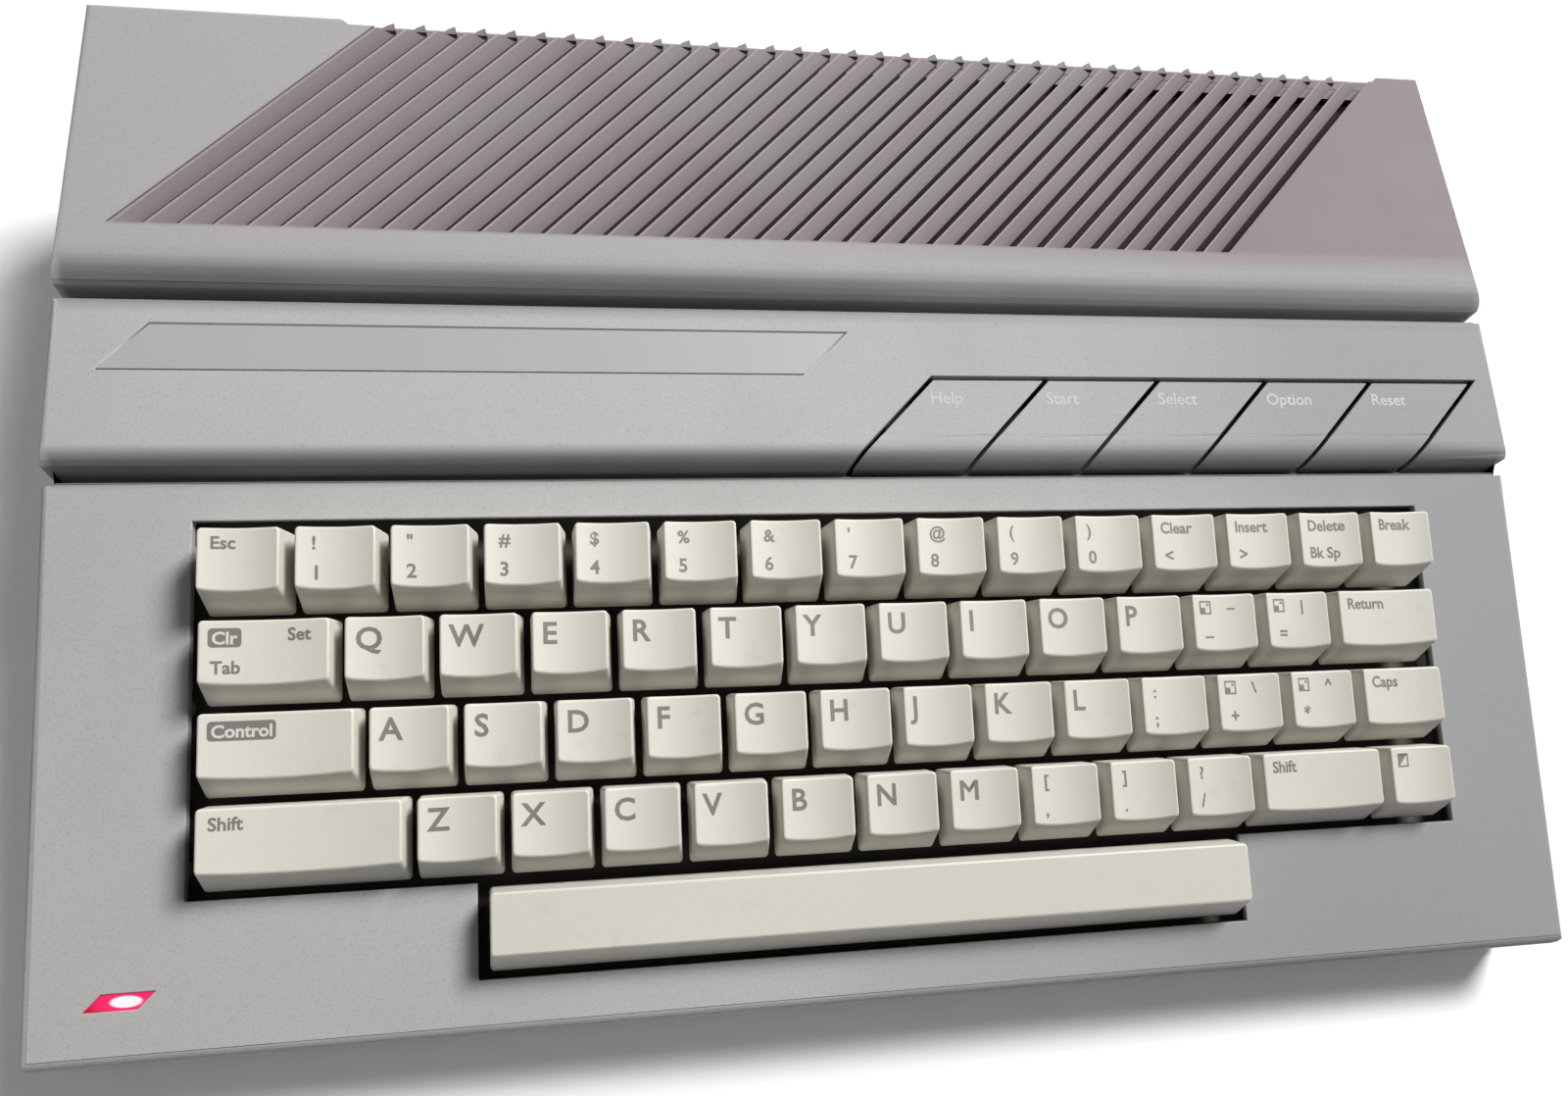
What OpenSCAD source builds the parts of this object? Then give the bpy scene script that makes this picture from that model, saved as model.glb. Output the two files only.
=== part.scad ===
// Home computer of the mid nineteen-eighties: a wedge of three terraces with a full keyboard,
// five slanted console buttons and a field of slanted cooling louvres.
// Millimetres, +Z up, the origin under the middle of the case where it stands.

/* [Case] */
// Width of the case at the parting line
case_w = 350; // [340:1:380]
// Depth of the case
case_d = 234; // [228:1:250]
// Height of the front edge above the table
front_h = 22; // [20:0.5:26]
// Wall of both shells
wall = 2.5; // [1.8:0.1:3]
// Lean of the sides
side_draft = 1.6; // [0.5:0.1:2]
// Radius of the corners seen from above
corner_r = 3; // [2:0.5:5]
// Radius of the long upper edges
edge_r = 3; // [1.5:0.5:4]
// Height of the parting line at the front
seam_front = 11; // [9:0.5:13]
// Height of the parting line at the back
seam_rear = 34; // [31:0.5:36]
// Depth of the fine groove along the parting line
seam_groove = 0.8; // [0.4:0.1:1.2]

/* [Terraces] */
// Slope of the key deck, degrees
deck_slope = 12; // [10:0.5:13]
// Depth of the key deck from the front edge to the first groove
deck_d = 118; // [117:0.5:121]
// Rise of the band above the key deck
band_step = 3.9; // [3:0.1:5]
// Slope of the band, degrees
band_slope = 7; // [5:0.5:8]
// Depth of the band
band_d = 40.5; // [38:0.5:44]
// Depth of the rounded nose of the band
band_nose = 7; // [5:0.5:9]
// Rise of the rear block above the band
rear_step = 2.5; // [2:0.1:4]
// Slope of the rear block, degrees
rear_slope = 2; // [1:0.5:3]
// Depth of the rounded nose of the rear block
rear_nose = 10.7; // [9:0.1:12]
// Width of the grooves between the terraces
groove_w = 1.2; // [1:0.1:1.6]
// Depth of the grooves below the terrace in front of them
groove_h = 3; // [2:0.5:4.5]
// Depth of the notches where the grooves meet the sides
notch_x = 3.3; // [2:0.1:4]
// Width of those notches
notch_y = 3.2; // [2:0.1:4]

/* [Louvres] */
// Distance from slat to slat, along the case
slat_pitch = 7.2; // [6.9:0.05:7.2]
// Width of the slot beside each slat, square to the slat
slot_w = 1.7; // [1.2:0.1:2.2]
// Fall of each slat from its crest to its slot
slat_fall = 1.8; // [1:0.1:2.2]
// Depth of the louvre field below the surface round it
field_recess = 0.4; // [0.2:0.1:0.6]
// Angle of the slats from the front-to-back line, degrees
slat_angle = 43.4; // [38:0.2:44]
// Distance from the left side of the case to the left front corner of the field
field_left = 11.7; // [10:0.1:14]
// Least distance from the right side of the case to the right back corner of the field
field_right = 17; // [14:0.1:24]
// Flat bar between the rear nose and the field
field_bar = 4.3; // [3:0.1:6]
// Thickness of the rear ceiling, which the slots pass through
ceiling = 4.5; // [4:0.1:5]
// Depth of the notch along the rear edge behind the field
rear_notch = 3.2; // [2:0.1:3.4]
// Reach of the fins that stand in that notch
fin_reach = 2.4; // [1:0.1:3]

/* [Keyboard] */
// Distance from key to key
key_pitch = 19.05; // [18.8:0.05:19.1]
// Width of a one-unit key at its foot
key_foot = 17.7; // [17:0.1:18.3]
// Width of a one-unit key at its top
key_top = 16; // [14:0.1:16.5]
// Left end of the key rows
keys_x = -141.7; // [-142.2:0.1:-141]
// Front edge of the cell of the row next to the space bar, up the deck
keys_v = 31.8; // [31.5:0.1:32]
// Depth of the hollow in the key tops
dish = 1.2; // [0.6:0.1:1.4]
// Travel of a key
key_travel = 3.5; // [2:0.1:3.8]
// Wall of a key cap
cap_wall = 1.4; // [1:0.1:1.8]
// Side of the square stem under a key
stem = 5; // [4:0.1:6]
// Clearance of a stem in its guide
guide_gap = 0.3; // [0.2:0.05:0.5]
// Depth of the guide plate below the deck surface
frame_n = -6.5; // [-7:0.1:-6]
// Thickness of the guide plate
frame_t = 3; // [2:0.1:4]
// Rubber left in a dome that is pressed flat
dome_rest = 0.5; // [0.4:0.1:0.9]

/* [Console buttons] */
// Distance from the right side of the case to the last button's back corner
console_side = 8; // [7:0.1:9]
// Distance from button to button
console_pitch = 29.2; // [28:0.1:29.3]
// Depth of the buttons behind the band's foot
console_d = 21.2; // [19:0.1:22]
// Shift of a button's back edge to the right of its front edge
console_slant = 21; // [18:0.5:22]
// Dark gap round each button
console_gap = 1; // [0.8:0.05:1.2]
// Travel of a console button
console_travel = 1.8; // [1:0.1:2]

/* [Feet and boards] */
// Height of the rubber feet
feet_h = 3; // [2:0.5:4]
// Radius of the rubber feet
feet_r = 7; // [5:0.5:9]
// Height of the circuit board above the table
board_z = 12; // [11:0.5:13]
// Thickness of the circuit board
board_t = 1.6; // [1:0.1:2]
// Height of the middle of the rear sockets
port_z = 21; // [20:0.5:22]
// Thickness of the metal shield
shield_t = 0.6; // [0.4:0.1:1]
// Radius of the shank of a case screw
screw_r = 1.5; // [1.2:0.1:1.8]
// Radius of the screw posts
post_r = 4.5; // [4:0.1:5]
// Radius of the round sockets
din_r = 6.6; // [6:0.1:7]
// Radius of the television jack
jack_r = 4.1; // [3.8:0.1:4.4]

/* [Hidden] */
eps = 0.01;
gap = 0.3;                                  // running clearance between moulded pieces
flats = 12;                                 // sides of the moulded posts
half_d = case_d / 2;
half_w = case_w / 2;
y_band = -half_d + deck_d;                  // foot of the band's nose
y_rear = y_band + band_d;                   // foot of the rear block's nose
band_z0 = deck_z(y_band) + band_step;
rear_z0 = band_z(y_rear) + rear_step;
top_z = rear_z(half_d);
floor_z = feet_h + wall;
lower_inset = 0.5;                          // the lower shell stands back by this much
shoulder_r = 1.8;

// Heights of the three terraces and of the parting line at a depth y
function deck_z(y) = front_h + (y + half_d) * tan(deck_slope);
function band_z(y) = band_z0 + (y - y_band) * tan(band_slope);
function rear_z(y) = rear_z0 + (y - y_rear) * tan(rear_slope);
function seam_z(y) = seam_front + (y + half_d) * (seam_rear - seam_front) / case_d;

// Points of an elliptical arc about (cy, cz)
function arc(cy, cz, ry, rz, a0, a1, n = 6) =
    [for (i = [0:n]) let (a = a0 + (a1 - a0) * i / n) [cy + ry * cos(a), cz + rz * sin(a)]];

// Upper outline of the case from its front to its back, in the (y, z) plane
lip_r = 1;
back_lip_r = 2.6;
deck_end = y_band - groove_w;
band_end = y_rear - groove_w;
groove_1_z = deck_z(y_band) - groove_h;
groove_2_z = band_z(y_rear) - 1.5 * groove_h;
band_foot_z = deck_z(y_band) - 1;
rear_foot_z = band_z(y_rear) - groove_h;
band_crown = y_band + band_nose;
rear_crown = y_rear + rear_nose;
roof = concat(
    arc(-half_d + edge_r, deck_z(-half_d + edge_r) - edge_r, edge_r, edge_r, 180, 90 + deck_slope),
    arc(deck_end - lip_r, deck_z(deck_end - lip_r) - lip_r, lip_r, lip_r, 90, 0, 3),
    [[deck_end, groove_1_z], [y_band, groove_1_z]],
    arc(band_crown, band_foot_z, band_nose, band_z(band_crown) - band_foot_z, 180, 90, 8),
    arc(band_end - back_lip_r, band_z(band_end - back_lip_r) - back_lip_r, back_lip_r, back_lip_r, 90, 0),
    [[band_end, groove_2_z], [y_rear, groove_2_z]],
    arc(rear_crown, rear_foot_z, rear_nose, rear_z(rear_crown) - rear_foot_z, 180, 90, 8),
    arc(half_d - edge_r, top_z - edge_r, edge_r, edge_r, 90, 0));

// Inner outline below that roof
deck_wall = wall / cos(deck_slope);
inner_front = -half_d + wall;
inner_back = half_d - ceiling;
lining = [
    [inner_front, deck_z(inner_front) - deck_wall],
    [deck_end - wall, deck_z(deck_end - wall) - deck_wall],
    [deck_end - wall, groove_1_z - wall],
    [y_band + wall, groove_1_z - wall],
    [y_band + wall, band_foot_z],
    [band_crown, band_z(band_crown) - wall],
    [band_end - wall, band_z(band_end - wall) - wall],
    [band_end - wall, groove_2_z - wall],
    [y_rear + wall, groove_2_z - wall],
    [y_rear + wall, rear_foot_z - wall],
    [rear_crown, rear_z(rear_crown) - ceiling],
    [inner_back, rear_z(inner_back) - ceiling]];

// Extrudes a (y, z) outline across the case, from x0 to x1
module across(x0 = -half_w, x1 = half_w) {
    translate([x0, 0, 0]) rotate([90, 0, 90]) linear_extrude(x1 - x0) children();
}

// Everything above the parting line, raised by a step
module above_seam(step = 0) {
    across(-half_w - 1, half_w + 1) polygon([[-half_d - 1, seam_z(-half_d - 1) + step],
        [half_d + 1, seam_z(half_d + 1) + step], [half_d + 1, 2 * top_z], [-half_d - 1, 2 * top_z]]);
}

// Plan outline with rounded corners, and the notches at the ends of the grooves
module plan(inset, notched = false) {
    w = half_w - inset;
    d = half_d - inset;
    r = max(0.5, corner_r - inset);
    difference() {
        polygon(concat(arc(w - r, d - r, r, r, 0, 90, 4), arc(r - w, d - r, r, r, 90, 180, 4),
            arc(r - w, r - d, r, r, 180, 270, 4), arc(w - r, r - d, r, r, 270, 360, 4)));
        if (notched) for (s = [-1, 1]) for (y = [deck_end, band_end])
            translate([s * half_w, y + groove_w / 2]) square([2 * notch_x, notch_y], center = true);
    }
}

// Space under one terrace, between y0 and y1, with leaning sides and rounded shoulders
module terrace(y0, y1, z0, slope) {
    w = half_w - (z0 - seam_front) * tan(side_draft);
    right = concat([[w + z0 * tan(side_draft), -z0]],
        arc(w - shoulder_r, -shoulder_r, shoulder_r, shoulder_r, 0, 90, 4));
    left = [for (i = [len(right) - 1:-1:0]) [-right[i][0], right[i][1]]];
    intersection() {
        translate([0, y0, z0]) rotate([90 + slope, 0, 0])
            linear_extrude(4 * half_d, center = true) polygon(concat(right, left));
        across(-half_w - 1, half_w + 1) polygon([[y0, 0], [y1, 0], [y1, 2 * top_z], [y0, 2 * top_z]]);
    }
}

// The louvre field: one sawtooth section, run along the slats
rib_pitch = slat_pitch * cos(slat_angle);
field_y = rear_crown + field_bar;
field_end = half_d - rear_notch;
notch_z = top_z - field_recess - slat_fall - 1.4;
slot_end = inner_back - 2;
field_x = field_left - half_w;
field_run = (field_end - field_y) * tan(slat_angle);
slats = floor((case_w - field_left - field_right - field_run) / slat_pitch);
function rib_section(depth) = concat([[0, 1]],
    [for (i = [0:slats - 1]) each [
        [i * rib_pitch, -field_recess],
        [(i + 1) * rib_pitch - slot_w, -field_recess - slat_fall],
        [(i + 1) * rib_pitch - slot_w, -depth],
        [(i + 1) * rib_pitch, -depth]]],
    [[slats * rib_pitch, 1]]);
slat_reach = (field_end - field_y + slats * rib_pitch * sin(slat_angle)) / cos(slat_angle) + case_d / 8;
module louvre_cut(depth, y1) {
    intersection() {
        translate([field_x, field_y, rear_z(field_y)]) rotate([rear_slope, 0, 0])
            rotate([90, 0, -slat_angle]) translate([0, 0, -slat_reach])
            linear_extrude(slat_reach + case_d / 8) polygon(rib_section(depth));
        across() polygon([[field_y, 0], [y1, 0], [y1, 2 * top_z], [field_y, 2 * top_z]]);
    }
}

// Left edge of the slot beside slat i, at a depth y
function slot_x(i, y) = field_x + (y - field_y) * tan(slat_angle)
    + (i + 1) * slat_pitch - slot_w / cos(slat_angle);
notch_x0 = slot_x(-1, field_end) - slat_pitch / 2;
notch_x1 = slot_x(slats - 1, field_end) + slat_pitch / 2;
module rear_edge_notch() {
    translate([0, 0, notch_z]) linear_extrude(top_z) polygon([[notch_x0, field_end],
        [notch_x1, field_end], [notch_x1 + 2 * rear_notch, field_end + 2 * rear_notch],
        [notch_x0 - 2 * rear_notch, field_end + 2 * rear_notch]]);
}
module rear_fins() {
    h = top_z - field_recess - slat_fall / 2 - notch_z;
    for (i = [0:slats - 2]) translate([slot_x(i, field_end), field_end - eps, notch_z - eps])
        linear_extrude(h) polygon([[-slat_pitch / 2, 0], [0, 0], [-0.5, fin_reach],
            [-slat_pitch / 2 + (fin_reach - 1) * tan(slat_angle), fin_reach - 1]]);
}

// The key deck's own frame: x across, v up the deck, n out of it
module on_deck() {
    translate([0, -half_d, front_h]) rotate([deck_slope, 0, 0]) children();
}
function deck_v(y) = (y + half_d) / cos(deck_slope);
// A flat slab on the deck between two heights n
module slab(n0, n1) {
    translate([0, 0, n0]) linear_extrude(n1 - n0) children();
}

// Keys: [name, row from the space bar up, first unit, units wide, number of keys]
KEYS = [
    ["space_bar", 0, 3, 9.1, 1],
    ["left_shift_key", 1, 0, 2.25, 1], ["letter_keys_z_to_m", 1, 2.25, 1, 7], ["comma_key", 1, 9.25, 1, 1],
    ["full_stop_key", 1, 10.25, 1, 1], ["slash_key", 1, 11.25, 1, 1], ["right_shift_key", 1, 12.25, 1.75, 1],
    ["inverse_key", 1, 14, 1, 1],
    ["control_key", 2, 0, 1.75, 1], ["letter_keys_a_to_l", 2, 1.75, 1, 9], ["semicolon_key", 2, 10.75, 1, 1],
    ["plus_key", 2, 11.75, 1, 1], ["asterisk_key", 2, 12.75, 1, 1], ["caps_key", 2, 13.75, 1.25, 1],
    ["tab_key", 3, 0, 1.5, 1], ["letter_keys_q_to_p", 3, 1.5, 1, 10], ["minus_key", 3, 11.5, 1, 1],
    ["equals_key", 3, 12.5, 1, 1], ["return_key", 3, 13.5, 1.5, 1],
    ["escape_key", 4, 0, 1, 1], ["key_1", 4, 1, 1, 1], ["key_2", 4, 2, 1, 1], ["key_3", 4, 3, 1, 1],
    ["key_4", 4, 4, 1, 1], ["key_5", 4, 5, 1, 1], ["key_6", 4, 6, 1, 1], ["key_7", 4, 7, 1, 1],
    ["key_8", 4, 8, 1, 1], ["key_9", 4, 9, 1, 1], ["key_0", 4, 10, 1, 1], ["clear_key", 4, 11, 1, 1],
    ["insert_key", 4, 12, 1, 1], ["delete_key", 4, 13, 1, 1], ["break_key", 4, 14, 1, 1]];
CONSOLE = ["help_button", "start_button", "select_button", "option_button", "reset_button"];

// Heights of the key tops above the deck, by row, and the set-back of the space bar
row_top = [8, 8.2, 8, 8.6, 10.5];
space_back = 1;
skirt_n = -1;                               // lower edge of the key caps
top_back = 0.4;                             // lean of a key's back face
top_depth = 12.9;
rim_d = 0.9;                                // rounded front rim of a key top: depth, fall, and the face below it
rim_fall = 0.35;
rim_face = 1.3;
edge_fall = 0.6;                            // rounded left and right rims
stem_n = frame_n - frame_t - 1;             // lower end of the stems
dome_h = key_travel + dome_rest;
sheet_n = stem_n - gap - dome_h;            // upper face of the dome sheet
sheet_t = 0.5;
membrane_t = 0.3;
backplate_t = 1;
function row_v(row) = keys_v + (row - 1) * key_pitch - (row == 0 ? space_back : 0);
function key_mid(k, i) = keys_x + (k[2] + k[3] * (i + 0.5)) * key_pitch;
function stem_v(row) = row_v(row) + key_pitch / 2;
// Stem places along one key: a long key has one at each end too
function stem_xs(k) = k[3] > 5 ? [-0.4, 0, 0.4] * k[3] * key_pitch : [0];
console_x = half_w - console_side - console_slant - len(CONSOLE) * console_pitch;
console_mid = [for (i = [0:len(CONSOLE) - 1]) console_x + (i + 0.5) * console_pitch + console_slant / 2];
console_v = deck_v(y_band + console_d / 2);
// Every stem's place on the deck
stems = concat(
    [for (k = KEYS) for (i = [0:k[4] - 1]) for (dx = stem_xs(k)) [key_mid(k, i) + dx, stem_v(k[1])]],
    [for (x = console_mid) [x, console_v]]);

// Openings and outlines on the deck
well_margin_x = 2.8;
well_x0 = keys_x - well_margin_x;
well_x1 = keys_x + 15 * key_pitch + well_margin_x + 0.6;
well_v0 = row_v(1) - 0.8;
well_v1 = row_v(4) + key_pitch + 2.4;
space_key = KEYS[0];
pocket_x0 = keys_x + space_key[2] * key_pitch - 1.7;
pocket_x1 = pocket_x0 + space_key[3] * key_pitch + 2.9;
pocket_v0 = row_v(0) - 0.8;
console_x0 = console_mid[0] - 14;
console_x1 = console_mid[len(CONSOLE) - 1] + 14;
module box_outline(x0, v0, x1, v1) {
    translate([x0, v0]) square([x1 - x0, v1 - v0]);
}
module well_outline() {
    box_outline(well_x0, well_v0, well_x1, well_v1);
    box_outline(pocket_x0, pocket_v0, pocket_x1, well_v0 + 1);
}
bed_side = 6.5;                             // reach of the bed beyond the well on each side
module key_bed(inset = 0) {
    box_outline(well_x0 - bed_side + inset, well_v0 - 3 + inset, well_x1 + bed_side - inset, well_v1 + 4 - inset);
    box_outline(pocket_x0 - 3 + inset, pocket_v0 - 2 + inset, pocket_x1 + 3 - inset, well_v0);
    box_outline(console_x0 + inset, well_v1, console_x1 - inset, console_v + 12 - inset);
}
bed_posts = [for (v = [well_v0 + 6, (well_v0 + well_v1) / 2, well_v1 - 6])
    for (x = [well_x0 - bed_side / 2, well_x1 + bed_side / 2]) [x, v]];
bed_post_r = 2.8;

// Slanted plan outlines on the band: the console buttons and the badge
function lean_x(y) = (y - y_band) * console_slant / console_d;
side_gap = console_gap / 2 / cos(atan(console_slant / console_d));
module slanted(x0, x1, y0, y1) {
    polygon([[x0 + lean_x(y0), y0], [x1 + lean_x(y0), y0], [x1 + lean_x(y1), y1], [x0 + lean_x(y1), y1]]);
}
console_back = y_band + console_d;
badge_y0 = y_band + 21.7;
badge_y1 = badge_y0 + 10.9;
badge_w = 154.4;
badge_side = 10.6;                          // from the left side of the case to the badge's left front corner
badge_x0 = badge_side - half_w - lean_x(badge_y0);
badge_x1 = badge_x0 + badge_w;
badge_recess = 0.5;

// Places of the screw posts, the feet and the sockets
post_top = seam_front + 4;
screw_posts = [for (s = [-1, 1]) each [[s * (half_w - 45), 13 - half_d], [s * (half_w - 12), y_band - 15],
    [s * (half_w - 11), half_d - 19]]];
feet_side = 25;
feet_back = 19;
feet = [for (s = [-1, 1]) for (t = [-1, 1]) [s * (half_w - feet_side), t * (half_d - feet_back)]];
board_side = 19;                            // from the sides of the case to the board
board_x = half_w - board_side;
board_y0 = y_band + 1;
board_y1 = half_d - ceiling - 1.5;
board_top = board_z + board_t;
inner_post = 50;
vent_y0 = board_y0 + 18;
vent_y1 = board_y1 - 35;
board_posts = [for (x = [10 - board_x, -inner_post, inner_post, board_x - 10])
    for (y = [board_y0 + 5, vent_y1]) [x, y]];
face_y = half_d - 0.6;                      // the sockets' faces stand just inside the back
switch_x = 25 - half_w;                     // the sockets follow one another from the left side
power_x = switch_x + 26;
channel_x = power_x + 23;
jack_x = channel_x + 19;
monitor_x = jack_x + 26;
serial_x = monitor_x + 48;
slot_mid_x = serial_x + 78;
side_port_back = 41;                        // the side ports, from the back of the case
side_port_pitch = 38;
side_ports = [half_d - side_port_back - side_port_pitch, half_d - side_port_back];
side_port_z = 16.5;
side_port_w = 31.4;
side_port_h = 13;
side_face = half_w - lower_inset - 0.6;
hinge_y = half_d - 6.2;
rocker_tilt = 7;

led_x = 18.7 - half_w;
led_y = 12 - half_d;
led_w = 10;
led_d = 3;
led_lean = 1.6;
module led_outline(grow) {
    translate([led_x, led_y]) polygon([[-led_w / 2 - led_lean - grow, -led_d / 2 - grow],
        [led_w / 2 - led_lean + grow, -led_d / 2 - grow], [led_w / 2 + led_lean + grow, led_d / 2 + grow],
        [-led_w / 2 + led_lean - grow, led_d / 2 + grow]]);
}

module upper_case() {
    color([0.66, 0.66, 0.66]) difference() {
        union() {
            difference() {
                case_form();
                intersection() {
                    across(-half_w + wall, half_w - wall)
                        polygon(concat(lining, [[inner_back, 0], [inner_front, 0]]));
                    linear_extrude(top_z) plan(wall);
                    side_clear();
                }
            }
            intersection() {
                case_form();
                for (p = screw_posts) translate([p[0], p[1], post_top]) cylinder(r = post_r, h = top_z, $fn = flats);
            }
            on_deck() for (p = bed_posts) translate([p[0], p[1], frame_n])
                cylinder(r = bed_post_r, h = -frame_n - wall / 2, $fn = flats);
        }
        for (p = screw_posts) translate([p[0], p[1], post_top - eps])
            cylinder(r = screw_r + 0.1, h = 9, $fn = flats);
        on_deck() slab(-2 * wall - 2, 9) well_outline();
        translate([0, 0, front_h / 2]) linear_extrude(front_h) led_outline(0.1);
        translate([0, 0, groove_1_z - 3 * wall]) linear_extrude(top_z)
            slanted(console_x - side_gap, console_x + len(CONSOLE) * console_pitch + side_gap,
                y_band, console_back + console_gap / 2);
        badge_form(0, 9);
        louvre_cut(slat_fall + field_recess + 1.4, field_end);
        louvre_cut(3 * ceiling, slot_end);
        rear_edge_notch();
    }
    color([0.6, 0.55, 0.57]) rear_fins();
}
// The case's outer form above the parting line
module case_form() {
    intersection() {
        across() polygon(concat(roof, [[half_d, 0], [-half_d, 0]]));
        linear_extrude(2 * top_z) plan(0, true);
        union() {
            terrace(-half_d, y_band, front_h, deck_slope);
            terrace(y_band, y_rear, band_z0, band_slope);
            terrace(y_rear, half_d, rear_z0, rear_slope);
        }
        above_seam();
    }
}
// Keeps the inside clear of the walls behind the side notches
module side_clear() {
    w = notch_x + wall;
    linear_extrude(2 * top_z) difference() {
        square([2 * half_w, 2 * half_d], center = true);
        for (s = [-1, 1]) for (y = [deck_end, band_end])
            translate([s * half_w, y + groove_w / 2]) square([2 * w, notch_y + 2 * wall], center = true);
    }
}
// A slanted slab that follows the band, from a depth below it up to a height above it
module badge_form(inset, rise) {
    intersection() {
        linear_extrude(2 * top_z) slanted(badge_x0 + inset, badge_x1 - inset, badge_y0 + inset, badge_y1 - inset);
        across() polygon([[y_band, band_z(y_band) - badge_recess], [y_rear, band_z(y_rear) - badge_recess],
            [y_rear, band_z(y_rear) + rise], [y_band, band_z(y_band) + rise]]);
    }
}
module badge_plate() {
    color([0.62, 0.62, 0.63]) badge_form(0.35, -0.1);
}

module lower_case() {
    foot_r = 2;
    color([0.64, 0.64, 0.64]) difference() {
        union() {
            difference() {
                intersection() {
                    across() polygon(concat(arc(-half_d + foot_r + lower_inset, feet_h + foot_r, foot_r, foot_r, 270, 180, 3),
                        [[-half_d, seam_z(-half_d)], [half_d, seam_z(half_d)]],
                        arc(half_d - foot_r - lower_inset, feet_h + foot_r, foot_r, foot_r, 0, -90, 3)));
                    linear_extrude(top_z) plan(lower_inset);
                }
                translate([0, 0, floor_z]) linear_extrude(top_z) plan(lower_inset + wall);
                intersection() {
                    across() polygon([for (e = [[-1, 0], [1, 0], [1, 1], [-1, 1]])
                        [e[0] * half_d, seam_z(e[0] * half_d) + e[1] - seam_groove]]);
                    linear_extrude(top_z) difference() {
                        plan(0);
                        plan(lower_inset + seam_groove);
                    }
                }
            }
            for (p = screw_posts) translate([p[0], p[1], floor_z - eps])
                cylinder(r = post_r, h = post_top - floor_z + eps, $fn = flats);
            for (p = board_posts) translate([p[0], p[1], floor_z - eps])
                cylinder(r = 3, h = board_z - floor_z + eps, $fn = flats);
            power_led_post();
        }
        for (p = screw_posts) {
            translate([p[0], p[1], feet_h - 1]) cylinder(r = screw_r + 0.3, h = top_z, $fn = flats);
            translate([p[0], p[1], feet_h - 1]) cylinder(r = 2 * screw_r + 0.4, h = 1 + head_depth, $fn = flats);
        }
        for (q = rear_holes) translate([q[0] - q[1] / 2, half_d - 2 * wall, port_z - q[2] / 2])
            cube([q[1], 3 * wall, q[2]]);
        for (y = side_ports)
            translate([half_w - 2 * wall, y - side_port_w / 2 - gap, side_port_z - side_port_h / 2 - gap])
            cube([3 * wall, side_port_w + 2 * gap, side_port_h + 2 * gap]);
        for (i = [-6:6]) translate([i * vent_pitch - vent_w / 2, vent_y0, 0])
            cube([vent_w, vent_y1 - vent_y0, floor_z + 1]);
    }
}
head_depth = 5;
vent_pitch = 14;
vent_w = 3;
// Openings in the back: place, width and height
rear_holes = [[switch_x, 14, 19], [power_x, 18, 17], [channel_x, 11, 7], [jack_x, 11, 11],
    [monitor_x, 18, 17], [serial_x, 42, 16], [slot_mid_x, 78, 18]];

module power_led_post() {
    translate([led_x, led_y, floor_z - eps]) cylinder(r = 3, h = led_base - floor_z + eps, $fn = flats);
}
led_base = 12;
lens_t = 3;
module led_lens() {
    color([0.8, 0.1, 0.15]) intersection() {
        translate([0, 0, front_h / 2]) linear_extrude(front_h) led_outline(0);
        on_deck() slab(-lens_t, 0) box_outline(-half_w, 0, half_w, deck_d);
    }
}
module power_led() {
    top = deck_z(led_y - led_d / 2) - lens_t / cos(deck_slope) - 0.1;
    color([0.9, 0.2, 0.25]) {
        translate([led_x, led_y, led_base]) cylinder(r = 2.9, h = 1.4);
        translate([led_x, led_y, led_base + 1.4 - eps]) cylinder(r = 2.5, h = top - led_base - 1.4);
    }
}

module keyboard_frame() {
    rim = 2;
    color([0.2, 0.2, 0.2]) on_deck() difference() {
        union() {
            slab(frame_n - frame_t, frame_n) key_bed();
            slab(sheet_n, frame_n - frame_t + eps) difference() {
                key_bed();
                key_bed(rim);
            }
        }
        for (p = stems) translate([p[0], p[1], frame_n - 2 * frame_t]) linear_extrude(3 * frame_t)
            square(stem + 2 * guide_gap, center = true);
    }
}
module dome_sheet() {
    color([0.45, 0.45, 0.47]) on_deck() {
        slab(sheet_n - sheet_t, sheet_n) key_bed();
        for (p = stems) translate([p[0], p[1], sheet_n - eps]) {
            cylinder(r = 4.5, h = 1, $fn = flats);
            translate([0, 0, 1 - eps]) cylinder(r = 2.6, h = dome_h - 1 + 2 * eps, $fn = flats);
        }
    }
}
module keyboard_membrane() {
    n = sheet_n - sheet_t;
    color([0.75, 0.75, 0.6]) on_deck() slab(n - membrane_t, n) key_bed();
}
module keyboard_backplate() {
    n = sheet_n - sheet_t - membrane_t;
    color([0.7, 0.7, 0.72]) on_deck() slab(n - backplate_t, n) key_bed();
}

// Depth of the hollow in a row's key tops: the space bar has none
function hollow(row) = row == 0 ? 0 : dish;

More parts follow.
